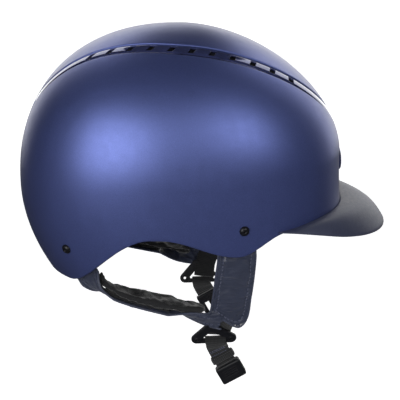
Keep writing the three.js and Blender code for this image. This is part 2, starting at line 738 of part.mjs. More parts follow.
function buildProng(side) {
  const { width, baseLength, prongLength, prongWidth, prongThickness, hingeGap } = BUCKLE;
  const outer = (width / 2 - 1) * side;
  const inner = outer - prongWidth * side;
  const top = -baseLength - 0.5 - hingeGap;
  const outline = new THREE.Shape();
  outline.moveTo(inner, top);
  outline.lineTo(outer, top);
  outline.lineTo(outer - 0.6 * side, top - prongLength * 0.45);
  outline.lineTo(outer + 0.9 * side, top - prongLength * 0.5);
  outline.quadraticCurveTo(outer + 0.6 * side, top - prongLength * 0.85, outer - 1.6 * side, top - prongLength);
  outline.lineTo(inner, top - prongLength);
  outline.closePath();
  const options = { depth: prongThickness, bevelEnabled: false, curveSegments: 5 };
  return new THREE.ExtrudeGeometry(outline, options).translate(0, 0, -prongThickness / 2);
}

function buildChinStraps() {
  const frame = dividerFrame(0);
  const rightEnd = chinFrame(CHIN.rightLength);
  const leftEnd = chinFrame(CHIN.leftLength);
  addPart('right_chin_webbing', chinWebbing(CHIN.rightLength).applyMatrix4(frame), 'webbing');
  addPart('left_chin_webbing', mirrored(chinWebbing(CHIN.leftLength).applyMatrix4(frame)), 'webbing');
  const keeper = buildKeeper().translate(0, 6, -0.95).applyMatrix4(rightEnd);
  addPart('right_strap_keeper', keeper, 'webbing');
  addPart('buckle_socket', buildSocket().applyMatrix4(rightEnd), 'plastic');
  addPart('buckle_plug', mirrored(buildPlug().applyMatrix4(leftEnd)), 'plastic');
  addPart('buckle_front_prong', mirrored(buildProng(1).applyMatrix4(leftEnd)), 'plastic');
  addPart('buckle_rear_prong', mirrored(buildProng(-1).applyMatrix4(leftEnd)), 'plastic');
}

buildShell();
buildVents();
buildBadge();
buildPeak();
buildLiner();
buildScrews();
buildAnchorStraps();
buildHarness();
buildChinStraps();

export default helmet;
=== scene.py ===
import math
from contextlib import contextmanager

import bmesh
import bpy
import numpy as np
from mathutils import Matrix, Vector, noise
from mathutils.bvhtree import BVHTree


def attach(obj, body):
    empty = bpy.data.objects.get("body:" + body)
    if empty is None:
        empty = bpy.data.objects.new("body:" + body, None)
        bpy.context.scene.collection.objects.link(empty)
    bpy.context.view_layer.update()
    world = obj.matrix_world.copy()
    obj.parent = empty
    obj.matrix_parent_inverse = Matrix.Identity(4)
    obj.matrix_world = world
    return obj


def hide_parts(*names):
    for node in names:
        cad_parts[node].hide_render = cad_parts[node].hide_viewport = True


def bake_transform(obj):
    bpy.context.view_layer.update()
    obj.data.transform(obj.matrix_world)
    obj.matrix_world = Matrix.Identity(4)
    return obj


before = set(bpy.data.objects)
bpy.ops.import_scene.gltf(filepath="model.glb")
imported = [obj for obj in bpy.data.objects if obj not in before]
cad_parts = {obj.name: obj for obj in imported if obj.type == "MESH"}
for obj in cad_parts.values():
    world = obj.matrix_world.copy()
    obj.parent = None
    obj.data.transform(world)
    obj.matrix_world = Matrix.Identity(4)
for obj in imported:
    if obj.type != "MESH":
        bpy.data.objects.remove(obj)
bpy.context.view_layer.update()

MM = 0.001

# ---------------------------------------------------------------- camera
TARGET = Vector((0.01742, 0.0, -0.00578))
AZIMUTH, ELEVATION, DISTANCE = math.radians(-5), math.radians(17), 0.85
BACK = Vector((
    math.sin(AZIMUTH) * math.cos(ELEVATION),
    -math.cos(AZIMUTH) * math.cos(ELEVATION),
    math.sin(ELEVATION),
))
camera_data = bpy.data.cameras.new("camera")
camera_data.lens = 87.9
camera_data.sensor_width = 36
camera = bpy.data.objects.new("camera", camera_data)
camera.location = TARGET + BACK * DISTANCE
camera.rotation_euler = BACK.to_track_quat("Z", "Y").to_euler()
bpy.context.scene.collection.objects.link(camera)
bpy.context.scene.camera = camera


# ---------------------------------------------------------------- mesh helpers
def circle(count):
    return np.linspace(0, 2 * math.pi, count, endpoint=False)


def unit(vectors):
    return vectors / np.linalg.norm(vectors, axis=-1, keepdims=True)


def distance_along(line):
    return np.concatenate([[0], np.cumsum(np.linalg.norm(np.diff(line, axis=0), axis=1))])


def add_object(name, data):
    obj = bpy.data.objects.new(name, data)
    bpy.context.scene.collection.objects.link(obj)
    return obj


@contextmanager
def editing(mesh):
    """Opens a mesh for editing and writes it back."""
    work = bmesh.new()
    work.from_mesh(mesh)
    yield work
    work.to_mesh(mesh)
    work.free()


def smooth(mesh):
    mesh.polygons.foreach_set("use_smooth", [True] * len(mesh.polygons))


def add_mesh(name, vertices, faces, uv=None):
    mesh = bpy.data.meshes.new(name)
    mesh.from_pydata(np.asarray(vertices).tolist(), [], faces)
    if uv is not None:
        layer = mesh.uv_layers.new(name="UVMap")
        corner = np.zeros(len(mesh.loops), np.int32)
        mesh.loops.foreach_get("vertex_index", corner)
        layer.data.foreach_set("uv", np.asarray(uv, np.float32)[corner].ravel())
    smooth(mesh)
    return add_object(name, mesh)


def grid(name, points, around=False, uv=None, keep=None, flip=False):
    """A surface through a (rows, columns, 3) array of millimetres. keep(row, column) may leave faces out."""
    rows, columns = points.shape[:2]
    faces = []
    for row in range(rows - 1):
        for column in range(columns if around else columns - 1):
            if keep is not None and not keep(row, column):
                continue
            after = (column + 1) % columns
            face = [row * columns + column, row * columns + after,
                    (row + 1) * columns + after, (row + 1) * columns + column]
            faces.append(face[::-1] if flip else face)
    flat_uv = None if uv is None else np.asarray(uv).reshape(-1, 2)
    return add_mesh(name, points.reshape(-1, 3) * MM, faces, flat_uv)


def weld(obj, distance=0.00002):
    """Joins a piece's seams, closes its ends and turns its faces outward."""
    with editing(obj.data) as work:
        bmesh.ops.remove_doubles(work, verts=work.verts, dist=distance)
        bmesh.ops.dissolve_degenerate(work, edges=work.edges, dist=distance / 2)
        holes = [edge for edge in work.edges if edge.is_boundary]
        if holes:
            bmesh.ops.holes_fill(work, edges=holes, sides=0)
        bmesh.ops.recalc_face_normals(work, faces=work.faces)
    smooth(obj.data)
    return obj


def bake(obj):
    """Applies the modifiers of an object to its mesh."""
    bpy.context.view_layer.update()
    shaped = obj.evaluated_get(bpy.context.evaluated_depsgraph_get())
    mesh = bpy.data.meshes.new_from_object(shaped)
    obj.modifiers.clear()
    obj.data = mesh
    return obj


def bevel(obj, width, segments=3, angle=35):
    cut = obj.modifiers.new("bevel", "BEVEL")
    cut.width = width * MM
    cut.segments = segments
    cut.limit_method = "ANGLE"
    cut.angle_limit = math.radians(angle)
    cut.harden_normals = True
    return obj


def solidify(obj, thickness):
    wall = obj.modifiers.new("wall", "SOLIDIFY")
    wall.thickness = thickness * MM
    wall.offset = -1
    return obj


def merge(name, parts):
    work = bmesh.new()
    for part in parts:
        work.from_mesh(part.data)
        bpy.data.objects.remove(part)
    mesh = bpy.data.meshes.new(name)
    work.to_mesh(mesh)
    work.free()
    smooth(mesh)
    return add_object(name, mesh)


def mirror(obj, name):
    """A copy reflected to the wearer's other side."""
    mesh = obj.data.copy()
    with editing(mesh) as work:
        for vertex in work.verts:
            vertex.co.y = -vertex.co.y
        bmesh.ops.reverse_faces(work, faces=work.faces)
    copy = add_object(name, mesh)
    for source in obj.modifiers:
        twin = copy.modifiers.new(source.name, source.type)
        for key in source.bl_rna.properties.keys():
            if not source.bl_rna.properties[key].is_readonly:
                setattr(twin, key, getattr(source, key))
    return copy


def coordinates(obj, kind="co"):
    flat = np.zeros(len(obj.data.vertices) * 3, np.float32)
    obj.data.vertices.foreach_get(kind, flat)
    return flat.reshape(-1, 3).astype(float)


def set_coordinates(obj, points):
    obj.data.vertices.foreach_set("co", np.asarray(points, np.float32).ravel())
    obj.data.update()


def vertex_normals(obj):
    return coordinates(obj, "normal")


def distance_to_line(points, line):
    """Distance from each point to a polyline, both in metres."""
    best = np.full(len(points), 1e9)
    for a, b in zip(line[:-1], line[1:]):
        step = b - a
        share = np.clip((points - a) @ step / max(step @ step, 1e-12), 0, 1)
        gap = np.linalg.norm(points - a - share[:, None] * step, axis=1)
        best = np.minimum(best, gap)
    return best


# ---------------------------------------------------------------- the dome's surface, in millimetres
HALF_LENGTH, HALF_WIDTH, PLAN_POWER, CROWN_HEIGHT = 135, 108, 2.3, 147
EQUATOR = (43, 35, 19)
PROFILE_POWER = (1.78, 2.05, 2.23)
TUCK_IN = (-0.09, 0.09, 0.32)
RIM = [(0, -5), (50, -6), (69, -22), (102, -6), (106, -6), (148, -51), (180, -52)]
WALL = 4.2
CAVITY = (32, 25, 32, 31)


def by_direction(values, angle):
    facing = np.cos(angle)
    end = np.where(facing > 0, values[0], values[2])
    return values[1] + (end - values[1]) * facing * facing


def plan_radius(angle, inset):
    along = np.abs(np.cos(angle)) / HALF_LENGTH
    across = np.abs(np.sin(angle)) / HALF_WIDTH
    outline = (along ** PLAN_POWER + across ** PLAN_POWER) ** (-1 / PLAN_POWER)
    return outline - (by_direction(inset, angle) if isinstance(inset, tuple) else inset)


def crown_at(inset):
    return CROWN_HEIGHT - (inset[3] if isinstance(inset, tuple) else inset)


def dome_radius(angle, height, inset=0.0):
    equator = by_direction(EQUATOR, angle)
    power = by_direction(PROFILE_POWER, angle)
    below = np.maximum(equator - height, 0) / 100
    rise = np.clip((height - equator) / (crown_at(inset) - equator), 0, 1)
    shape = (1 - by_direction(TUCK_IN, angle) * below * below) * (1 - rise ** power) ** (1 / power)
    return plan_radius(angle, inset) * shape


def dome_point(angle, height, inset=0.0):
    angle, height = np.broadcast_arrays(np.asarray(angle, float), np.asarray(height, float))
    radius = dome_radius(angle, height, inset)
    return np.stack([radius * np.cos(angle), radius * np.sin(angle), height], axis=-1)


def dome_over(x, y, depth=0.0):
    """The point of the dome over a plan position, sunk by a depth along the surface normal."""
    def height(px, py):
        angle = np.arctan2(py, px)
        equator = by_direction(EQUATOR, angle)
        power = by_direction(PROFILE_POWER, angle)
        share = np.clip(np.hypot(px, py) / plan_radius(angle, 0.0), 1e-6, 0.9995)
        return equator + (CROWN_HEIGHT - equator) * (1 - share ** power) ** (1 / power)

    x, y = np.asarray(x, float), np.asarray(y, float)
    step = 0.05
    slope_x = (height(x + step, y) - height(x - step, y)) / (2 * step)
    slope_y = (height(x, y + step) - height(x, y - step)) / (2 * step)
    normal = unit(np.stack([-slope_x, -slope_y, np.ones_like(slope_x)], axis=-1))
    points = np.stack([x, y, height(x, y)], axis=-1)
    return points - normal * np.asarray(depth)[..., None]


def dome_normal(angle, height):
    around = dome_point(angle + 0.02, height) - dome_point(angle - 0.02, height)
    up = dome_point(angle, height + 2.0) - dome_point(angle, height - 2.0)
    return unit(np.cross(around, up))


def rim_height(angle):
    degrees = np.degrees(np.abs((np.asarray(angle) + math.pi) % (2 * math.pi) - math.pi))
    height = np.full(degrees.shape, float(RIM[-1][1]))
    for (low, low_z), (high, high_z) in reversed(list(zip(RIM[:-1], RIM[1:]))):
        share = np.clip((degrees - low) / (high - low), 0, 1)
        blend = low_z + (high_z - low_z) * share * share * (3 - 2 * share)
        height = np.where(degrees <= high, blend, height)
    return height


def meridians(angles, inset, lift, low_rows, high_rows, top_sweep=None):
    """Rows of points up the dome from its lower edge, stopping at the sweep given for each meridian."""
    equator = by_direction(EQUATOR, angles)
    power = by_direction(PROFILE_POWER, angles)
    bottom = rim_height(angles) + lift
    sweep_end = np.full(angles.shape, math.pi / 2) if top_sweep is None else top_sweep
    rows = [dome_point(angles, bottom + (equator - bottom) * i / low_rows, inset) for i in range(low_rows)]
    for i in range(high_rows + 1):
        rise = np.sin(sweep_end * i / high_rows) ** (2 / power)
        rows.append(dome_point(angles, equator + (crown_at(inset) - equator) * rise, inset))
    return np.stack(rows)


# Egg-shaped outlines on the crown: middle, half length, half width, swell.
EGG_INNER = (5, 121, 49.5, 0.28)
EGG_OUTER = (4.5, 127.5, 59, 0.24)
GAP = 0.4


def egg(outline, theta, grow=0.0):
    middle, length, width, swell = outline
    return (middle + (length + grow) * np.cos(theta),
            (width + grow) * np.sin(theta) * (1 + swell * np.cos(theta)))


def egg_crossing(outline, angles, grow):
    """Where each plan angle crosses an egg outline."""
    theta = angles.copy()
    for _ in range(40):
        x, y = egg(outline, theta, grow)
        theta = theta + (np.mod(angles - np.arctan2(y, x) + math.pi, 2 * math.pi) - math.pi) * 0.5
    return egg(outline, theta, grow)


# ---------------------------------------------------------------- curves and straps, in millimetres
def spline(stations, steps):
    """Centripetal Catmull-Rom points through stations, evenly shared between them."""
    points = [np.asarray(s, float) for s in stations]
    ends = [2 * points[0] - points[1]] + points + [2 * points[-1] - points[-2]]
    out = []
    for i in range(steps + 1):
        place = i / steps * (len(points) - 1)
        span = min(int(place), len(points) - 2)
        share = place - span
        p = ends[span:span + 4]
        d = [max(np.linalg.norm(p[k + 1] - p[k]) ** 0.5, 1e-4) for k in range(3)]
        m1 = ((p[1] - p[0]) / d[0] - (p[2] - p[0]) / (d[0] + d[1]) + (p[2] - p[1]) / d[1]) * d[1]
        m2 = ((p[2] - p[1]) / d[1] - (p[3] - p[1]) / (d[1] + d[2]) + (p[3] - p[2]) / d[2]) * d[1]
        c2 = -3 * p[1] + 3 * p[2] - 2 * m1 - m2
        c3 = 2 * p[1] - 2 * p[2] + m1 + m2
        out.append(p[1] + m1 * share + c2 * share ** 2 + c3 * share ** 3)
    return np.array(out)


def run_frames(stations, across, widths, steps):
    """Centres, width directions, outward directions, half widths and lengths along a strap."""
    centre = spline(stations, steps)
    travel = unit(np.gradient(centre, axis=0))
    marks = np.linspace(0, steps, len(stations))
    ways = unit(np.array(across, float))
    wide = np.stack([np.interp(range(steps + 1), marks, ways[:, k]) for k in range(3)], axis=1)
    wide = unit(wide - (wide * travel).sum(1, keepdims=True) * travel)
    half = np.interp(range(steps + 1), marks, widths) / 2
    return {"centre": centre, "wide": wide, "out": np.cross(travel, wide), "half": half,
            "length": distance_along(centre)}


def edge_line(run, side, shift):
    """A line along a strap, side 1 or -1 for its edges, in metres."""
    reach = run["half"][:, None] * side
    return (run["centre"] + run["wide"] * reach + run["out"] * shift) * MM


def squircle(turn, power):
    """Cosines and sines squared off by a power below one."""
    return [np.sign(wave) * np.abs(wave) ** power for wave in (np.cos(turn), np.sin(turn))]


def ribbon(name, run, thickness, shift=0.0, power=6.0, sides=28, round_start=0.0, round_end=0.0):
    """A strap with a rounded section, its UV in metres along and across it."""
    side, lift = squircle(circle(sides) + 0.01, 2 / power)
    length = run["length"]
    taper = np.ones(len(length))
    for reach, depth in ((length, round_start), (length[-1] - length, round_end)):
        if depth > 0:
            near = np.clip(1 - reach / depth, 0, 1)
            taper *= np.sqrt(np.maximum(1 - near ** 2, 0.0025))
    half = run["half"] * taper
    points = (run["centre"][:, None] + run["out"][:, None] * shift
              + run["wide"][:, None] * (half[:, None] * side)[..., None]
              + run["out"][:, None] * (np.outer(np.sqrt(taper), lift) * thickness / 2)[..., None])
    uv = np.stack([np.repeat(length[:, None], sides, 1), half[:, None] * side], axis=-1) * MM
    obj = grid(name, points, around=True, uv=uv)
    last = (len(length) - 1) * sides
    flat_uv = uv.reshape(-1, 2)
    with editing(obj.data) as work:
        work.verts.ensure_lookup_table()
        layer = work.loops.layers.uv.active
        rings = [[work.verts[i] for i in ring] for ring in (range(sides), range(last, last + sides))]
        caps = [work.faces.new(ring) for ring in rings]
        for face in caps:
            for loop in face.loops:
                loop[layer].uv = flat_uv[loop.vert.index]
        bmesh.ops.poke(work, faces=caps)
        bmesh.ops.recalc_face_normals(work, faces=work.faces)
    smooth(obj.data)
    return obj


def tube(name, line, radius, sides=8):
    """A round cord of mesh along a polyline in metres."""
    line = np.asarray(line)
    travel = unit(np.gradient(line, axis=0))
    one = unit(np.cross(travel, (0.31, 0.27, 0.91)))
    two = np.cross(travel, one)
    turn = circle(sides)
    ring = one[:, None] * np.cos(turn)[None, :, None] + two[:, None] * np.sin(turn)[None, :, None]
    points = (line[:, None] + ring * radius * MM) / MM
    return weld(grid(name, points, around=True), 0.000005)


def resample(line, spacing):
    """Points along a polyline in metres at an even spacing, with their directions."""
    line = np.asarray(line)
    length = distance_along(line)
    count = max(int(length[-1] / spacing), 2)
    marks = np.linspace(0, length[-1], count + 1)
    points = np.stack([np.interp(marks, length, line[:, k]) for k in range(3)], axis=1)
    return points, unit(np.gradient(points, axis=0))


def settle(obj, line, lift):
    """Moves a polyline onto the nearest surface of a piece, raised by a lift in millimetres."""
    tree = BVHTree.FromObject(obj, bpy.context.evaluated_depsgraph_get())
    out = []
    for point in line:
        spot, normal, _, _ = tree.find_nearest(Vector(point))
        out.append(np.array(spot + normal * lift * MM))
    return np.array(out)


def stitches(name, line, length=2.4, pitch=3.3, radius=0.34):
    """Thread laid in short bights along a polyline in metres."""
    points, travel = resample(line, pitch * MM)
    vertices, faces = [], []
    rings = [(-1.0, 0.25), (-0.72, 0.85), (0.0, 1.0), (0.72, 0.85), (1.0, 0.25)]
    for spot, ahead in zip(points[:-1], travel[:-1]):
        side = unit(np.cross(ahead, (0.12, -0.9, 0.41)))
        up = np.cross(side, ahead)
        first = len(vertices)
        for along, size in rings:
            for k in range(6):
                turn = k * math.pi / 3
                vertices.append(spot + ahead * along * length / 2 * MM
                                + (side * math.cos(turn) + up * math.sin(turn)) * size * radius * MM)
        for ring in range(len(rings) - 1):
            for k in range(6):
                a, b = first + ring * 6 + k, first + ring * 6 + (k + 1) % 6
                faces.append([a, b, b + 6, a + 6])
        faces.append([first + k for k in range(5, -1, -1)])
        faces.append([first + 24 + k for k in range(6)])
    return add_mesh(name, vertices, faces)


# ---------------------------------------------------------------- soft pieces
def inflate(obj, voxel, seams, cap, grow=-0.03, hold=1.6):
    """Puffs a closed soft mesh between its seams with a short cloth run, then smooths it once."""
    remesh = obj.modifiers.new("remesh", "REMESH")
    remesh.mode = "VOXEL"
    remesh.voxel_size = voxel * MM
    bake(obj)
    rest = coordinates(obj)
    near = np.min([distance_to_line(rest, seam) for seam in seams], axis=0)
    group = obj.vertex_groups.new(name="seam")
    group.add(np.flatnonzero(near < hold * MM).tolist(), 1.0, "REPLACE")
    cloth = obj.modifiers.new("cloth", "CLOTH")
    cloth.settings.quality = 6
    cloth.settings.mass = 0.15
    cloth.settings.use_pressure = True
    cloth.settings.uniform_pressure_force = 4.0
    cloth.settings.effector_weights.gravity = 0
    cloth.settings.vertex_group_mass = "seam"
    cloth.settings.shrink_min = grow
    cloth.settings.bending_stiffness = 0.4
    cloth.point_cache.frame_start = 1
    cloth.point_cache.frame_end = 20
    for step in range(1, 21):
        bpy.context.scene.frame_set(step)
    bake(obj)
    moved = coordinates(obj) - rest
    far = np.linalg.norm(moved, axis=1, keepdims=True)
    moved *= np.minimum(1, cap * MM / np.maximum(far, 1e-9))
    set_coordinates(obj, rest + moved)
    bpy.context.scene.frame_set(1)
    finer = obj.modifiers.new("finer", "SUBSURF")
    finer.levels = 1
    bake(obj)
    smooth(obj.data)
    return obj


def groove(obj, lines, depth, radius):
    """Presses seam channels into a soft piece along polylines in metres."""
    points, normals = coordinates(obj), vertex_normals(obj)
    near = np.min([distance_to_line(points, line) for line in lines], axis=0)
    set_coordinates(obj, points - normals * (depth * MM * np.exp(-(near / (radius * MM)) ** 2))[:, None])
    return obj


def wrinkle(obj, stretch, amplitude):
    """Pushes a soft piece in and out by noise with wavelengths along X, Y and Z in millimetres."""
    points, normals = coordinates(obj), vertex_normals(obj)
    scaled = points / (np.asarray(stretch, float) * MM)
    value = np.array([noise.noise(Vector(p)) for p in scaled])
    set_coordinates(obj, points + normals * (value * amplitude * MM)[:, None])
    return obj


# ---------------------------------------------------------------- materials
class Finish:
    """Builds one procedural material: colour, roughness and bump from layered textures."""

    def __init__(self, name, colour, roughness, metallic=0.0, **direct):
        self.material = bpy.data.materials.new(name)
        self.material.use_nodes = True
        self.tree = self.material.node_tree
        self.shader = self.tree.nodes["Principled BSDF"]
        self.shader.inputs["Base Color"].default_value = (*colour, 1)
        self.shader.inputs["Roughness"].default_value = roughness
        self.shader.inputs["Metallic"].default_value = metallic
        for key, value in direct.items():
            self.shader.inputs[key.replace("_", " ")].default_value = value
        self.colour = colour
        self.height = None
        where = self.tree.nodes.new("ShaderNodeTexCoord")
        self.solid = where.outputs["Object"]
        self.along = where.outputs["UV"]

    def link(self, source, target):
        self.tree.links.new(source, target)

    def noise(self, size, detail=3.0, stretch=None):
        node = self.tree.nodes.new("ShaderNodeTexNoise")
        node.inputs["Scale"].default_value = 1 / (size * MM)
        node.inputs["Detail"].default_value = detail
        node.inputs["Roughness"].default_value = 0.55
        self.link(self.stretched(stretch), node.inputs["Vector"])
        return node.outputs["Fac"]

    def cells(self, size, feature="F1", stretch=None):
        node = self.tree.nodes.new("ShaderNodeTexVoronoi")
        node.feature = feature
        node.inputs["Scale"].default_value = 1 / (size * MM)
        self.link(self.stretched(stretch), node.inputs["Vector"])
        return node.outputs["Distance"]

    def bands(self, period, axis, distortion=0.0):
        node = self.tree.nodes.new("ShaderNodeTexWave")
        node.bands_direction = axis
        node.inputs["Scale"].default_value = 0.31416 / (period * MM)
        node.inputs["Distortion"].default_value = distortion
        node.inputs["Detail"].default_value = 0
        self.link(self.along, node.inputs["Vector"])
        return node.outputs["Fac"]

    def stretched(self, stretch):
        if stretch is None:
            return self.solid
        node = self.tree.nodes.new("ShaderNodeMapping")
        node.inputs["Scale"].default_value = stretch
        self.link(self.solid, node.inputs["Vector"])
        return node.outputs["Vector"]

    def math(self, operation, one, two):
        node = self.tree.nodes.new("ShaderNodeMath")
        node.operation = operation
        for socket, value in zip(node.inputs, (one, two)):
            if isinstance(value, (int, float)):
                socket.default_value = value
            else:
                self.link(value, socket)
        return node.outputs[0]

    def spread(self, source, low, high, start=0.3, end=0.7):
        node = self.tree.nodes.new("ShaderNodeMapRange")
        for key, value in (("From Min", start), ("From Max", end), ("To Min", low), ("To Max", high)):
            node.inputs[key].default_value = value
        self.link(source, node.inputs["Value"])
        return node.outputs["Result"]

    def tint(self, source, low, high, start=0.3, end=0.7):
        """Colour that runs from low to high times the base as the source rises."""
        node = self.tree.nodes.new("ShaderNodeValToRGB")
        for stop, place, factor in zip(node.color_ramp.elements, (start, end), (low, high)):
            stop.position = place
            factor = factor if isinstance(factor, tuple) else (factor,) * 3
            stop.color = (*(c * f for c, f in zip(self.colour, factor)), 1)
        self.link(source, node.inputs["Fac"])
        return node.outputs["Color"]

    def blend(self, factor, one, two):
        node = self.tree.nodes.new("ShaderNodeMix")
        node.data_type = "RGBA"
        if isinstance(factor, float):
            node.inputs[0].default_value = factor
        else:
            self.link(factor, node.inputs[0])
        self.link(one, node.inputs[6])
        self.link(two, node.inputs[7])
        return node.outputs[2]

    def facing(self, blend=0.5):
        node = self.tree.nodes.new("ShaderNodeLayerWeight")
        node.inputs["Blend"].default_value = blend
        return node.outputs["Facing"]

    def set_colour(self, source):
        self.link(source, self.shader.inputs["Base Color"])

    def set_roughness(self, source):
        self.link(source, self.shader.inputs["Roughness"])

    def bump(self, source, depth, strength=1.0):
        node = self.tree.nodes.new("ShaderNodeBump")
        node.inputs["Strength"].default_value = strength
        node.inputs["Distance"].default_value = depth * MM
        self.link(source, node.inputs["Height"])
        if self.height is not None:
            self.link(self.height, node.inputs["Normal"])
        self.height = node.outputs["Normal"]
        self.link(self.height, self.shader.inputs["Normal"])


def paint_finish(name, colour, roughness, metallic):
    """Satin metallic paint with fine flake, and painted shade that darkens the colour towards the silhouette.
    """
    finish = Finish(name, colour, roughness, metallic, Coat_Weight=0.6, Coat_Roughness=0.45)
    flake = finish.noise(0.35, detail=2)
    cloud = finish.noise(45, detail=2)
    body = finish.blend(0.3, finish.tint(flake, 0.72, 1.3), finish.tint(cloud, 0.94, 1.06))
    # Painted shade: a darker copy of the paint colour, blended in by facing angle so the shell darkens
    # towards its silhouette.
    edge = finish.tint(flake, (0.32, 0.3, 0.34), (0.42, 0.4, 0.44))
    finish.set_colour(finish.blend(finish.spread(finish.facing(0.42), 0, 1, 0.3, 0.95), body, edge))
    finish.set_roughness(finish.spread(finish.noise(6), roughness - 0.03, roughness + 0.03))
    finish.bump(finish.noise(2.6, detail=1), 0.012)
    finish.bump(flake, 0.006)
    return finish.material


def gloss_finish():
    finish = Finish("gloss_lacquer", (0.045, 0.054, 0.15), 0.1, 0.5, Coat_Weight=1.0, Coat_Roughness=0.03)
    finish.set_colour(finish.tint(finish.noise(9), 0.8, 1.25))
    finish.set_roughness(finish.spread(finish.noise(3), 0.07, 0.14))
    finish.bump(finish.noise(5, detail=1), 0.015)
    return finish.material


def peak_finish():
    finish = Finish("peak_grain", (0.032, 0.038, 0.076), 0.42, 0.0, Coat_Weight=0.22, Coat_Roughness=0.42)
    grain = finish.cells(0.9, "DISTANCE_TO_EDGE")
    cloud = finish.noise(18)
    ground = finish.tint(grain, 0.7, 1.15, 0.0, 0.4)
    finish.set_colour(finish.blend(0.5, ground, finish.tint(cloud, 0.88, 1.12)))
    finish.set_roughness(finish.spread(finish.noise(2.5), 0.46, 0.58))
    finish.bump(finish.spread(grain, 0, 1, 0.0, 0.35), 0.03, 0.7)
    finish.bump(finish.noise(0.35), 0.012)
    return finish.material


def foam_finish():
    finish = Finish("foam_beads", (0.016, 0.017, 0.019), 0.85)
    beads = finish.cells(3.2)
    finish.set_colour(finish.tint(beads, 1.3, 0.55, 0.1, 0.75))
    finish.set_roughness(finish.spread(finish.noise(4), 0.78, 0.92))
    finish.bump(finish.spread(beads, 1, 0, 0.0, 0.7), 0.25, 0.8)
    return finish.material


def fabric_finish():
    finish = Finish("lining_knit", (0.007, 0.0073, 0.0085), 0.9,
                    Sheen_Weight=0.35, Sheen_Roughness=0.4)
    loops = finish.cells(1.05, stretch=(1, 1, 1.6))
    fuzz = finish.noise(0.4)
    finish.set_colour(finish.blend(0.5, finish.tint(loops, 1.5, 0.6, 0.1, 0.7), finish.tint(fuzz, 0.75, 1.3)))
    finish.set_roughness(finish.spread(finish.noise(7), 0.84, 0.96))
    finish.bump(finish.spread(loops, 1, 0, 0.0, 0.8), 0.22, 0.9)
    finish.bump(fuzz, 0.08)
    finish.bump(finish.noise(9, detail=2), 0.5, 0.6)
    return finish.material


def leather_finish(name, colour, roughness, crease):
    finish = Finish(name, colour, roughness, Coat_Weight=0.12, Coat_Roughness=0.35, Sheen_Weight=0.08)
    pebble = finish.cells(0.75, "DISTANCE_TO_EDGE")
    wide = finish.noise(11)
    ground = finish.tint(pebble, 0.6, 1.12, 0.0, 0.3)
    finish.set_colour(finish.blend(0.5, ground, finish.tint(wide, 0.82, 1.2)))
    finish.set_roughness(finish.spread(finish.noise(3.5), roughness - 0.06, roughness + 0.08))
    finish.bump(finish.spread(pebble, 0, 1, 0.0, 0.3), 0.035, 0.8)
    finish.bump(finish.noise(6, detail=4, stretch=(0.35, 0.35, 1.4)), crease, 0.8)
    return finish.material


def thread_finish():
    finish = Finish("stitch_thread", (0.035, 0.043, 0.09), 0.55, Sheen_Weight=0.3)
    twist = finish.noise(0.25, stretch=(1, 1, 3))
    finish.set_colour(finish.tint(twist, 0.75, 1.3))
    finish.set_roughness(finish.spread(twist, 0.5, 0.7))
    finish.bump(twist, 0.06)
    return finish.material


def webbing_finish():
    """Ribbed woven tape: crossing bands along and across the strap."""
    finish = Finish("webbing_weave", (0.004, 0.0043, 0.0052), 0.8, Sheen_Weight=0.25, Sheen_Roughness=0.5)
    rib = finish.bands(1.5, "X", 0.4)
    warp = finish.bands(1.15, "Y")
    weave = finish.math("MULTIPLY", finish.math("ADD", finish.math("MULTIPLY", rib, 0.65), 0.35), warp)
    fuzz = finish.noise(0.5)
    ground = finish.tint(weave, 0.55, 1.55, 0.05, 0.8)
    finish.set_colour(finish.blend(0.35, ground, finish.tint(fuzz, 0.7, 1.4)))
    finish.set_roughness(finish.spread(weave, 0.9, 0.68, 0.1, 0.8))
    finish.bump(weave, 0.3, 0.9)
    finish.bump(fuzz, 0.06)
    return finish.material


def plastic_finish():
    finish = Finish("moulded_plastic", (0.0042, 0.0044, 0.0062), 0.42, Specular_IOR_Level=0.35)
    spark = finish.noise(0.45, detail=2)
    finish.set_colour(finish.tint(finish.noise(8), 0.85, 1.2))
    finish.set_roughness(finish.spread(finish.noise(2.2), 0.36, 0.5))
    finish.bump(spark, 0.035, 0.8)
    return finish.material


def metal_finish(name, colour, roughness, metallic):
    finish = Finish(name, colour, roughness, metallic)
    finish.set_colour(finish.tint(finish.noise(1.6), 0.85, 1.15))
    finish.set_roughness(finish.spread(finish.noise(0.9), roughness - 0.08, roughness + 0.1))
    finish.bump(finish.noise(0.5), 0.015)
    return finish.material


SHELL_PAINT = paint_finish("shell_paint", (0.096, 0.13, 0.375), 0.45, 0.85)
CHANNEL = metal_finish("vent_channel", (0.004, 0.004, 0.006), 0.7, 0.0)
GLOSS = gloss_finish()
PEAK_GRAIN = peak_finish()
FOAM = foam_finish()
KNIT = fabric_finish()
LEATHER = leather_finish("leather_navy", (0.02, 0.0255, 0.05), 0.4, 0.5)
# The piping is navy leather like the strap's. Its colour is lightened as painted highlight along the cords;
# its lower roughness is its own.
PIPING = leather_finish("leather_piping", (0.03, 0.036, 0.066), 0.33, 0.08)
THREAD = thread_finish()
WEAVE = webbing_finish()
PLASTIC = plastic_finish()
BLACK_METAL = metal_finish("screw_black", (0.008, 0.008, 0.01), 0.32, 0.4)
STEEL = metal_finish("nut_steel", (0.5, 0.51, 0.53), 0.34, 1.0)


def dress(obj, material, body, slot, *nodes):
    """Gives a finished piece its material, the body it rides on and the CAD nodes it stands for."""
    obj.data.materials.clear()
    obj.data.materials.append(material)
    if body is not None:
        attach(obj, body)
    if nodes:
        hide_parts(*nodes)
    return obj


SIDES = (("right", -1), ("left", 1))


# ---------------------------------------------------------------- shell
# Growth of an outline and depth below the surface, round the shell's edges at the vent strips.
ROUNDED_EDGE = ((1.0, 0.0), (0.6, 0.08), (0.28, 0.28), (0.08, 0.6), (0.0, 1.0))


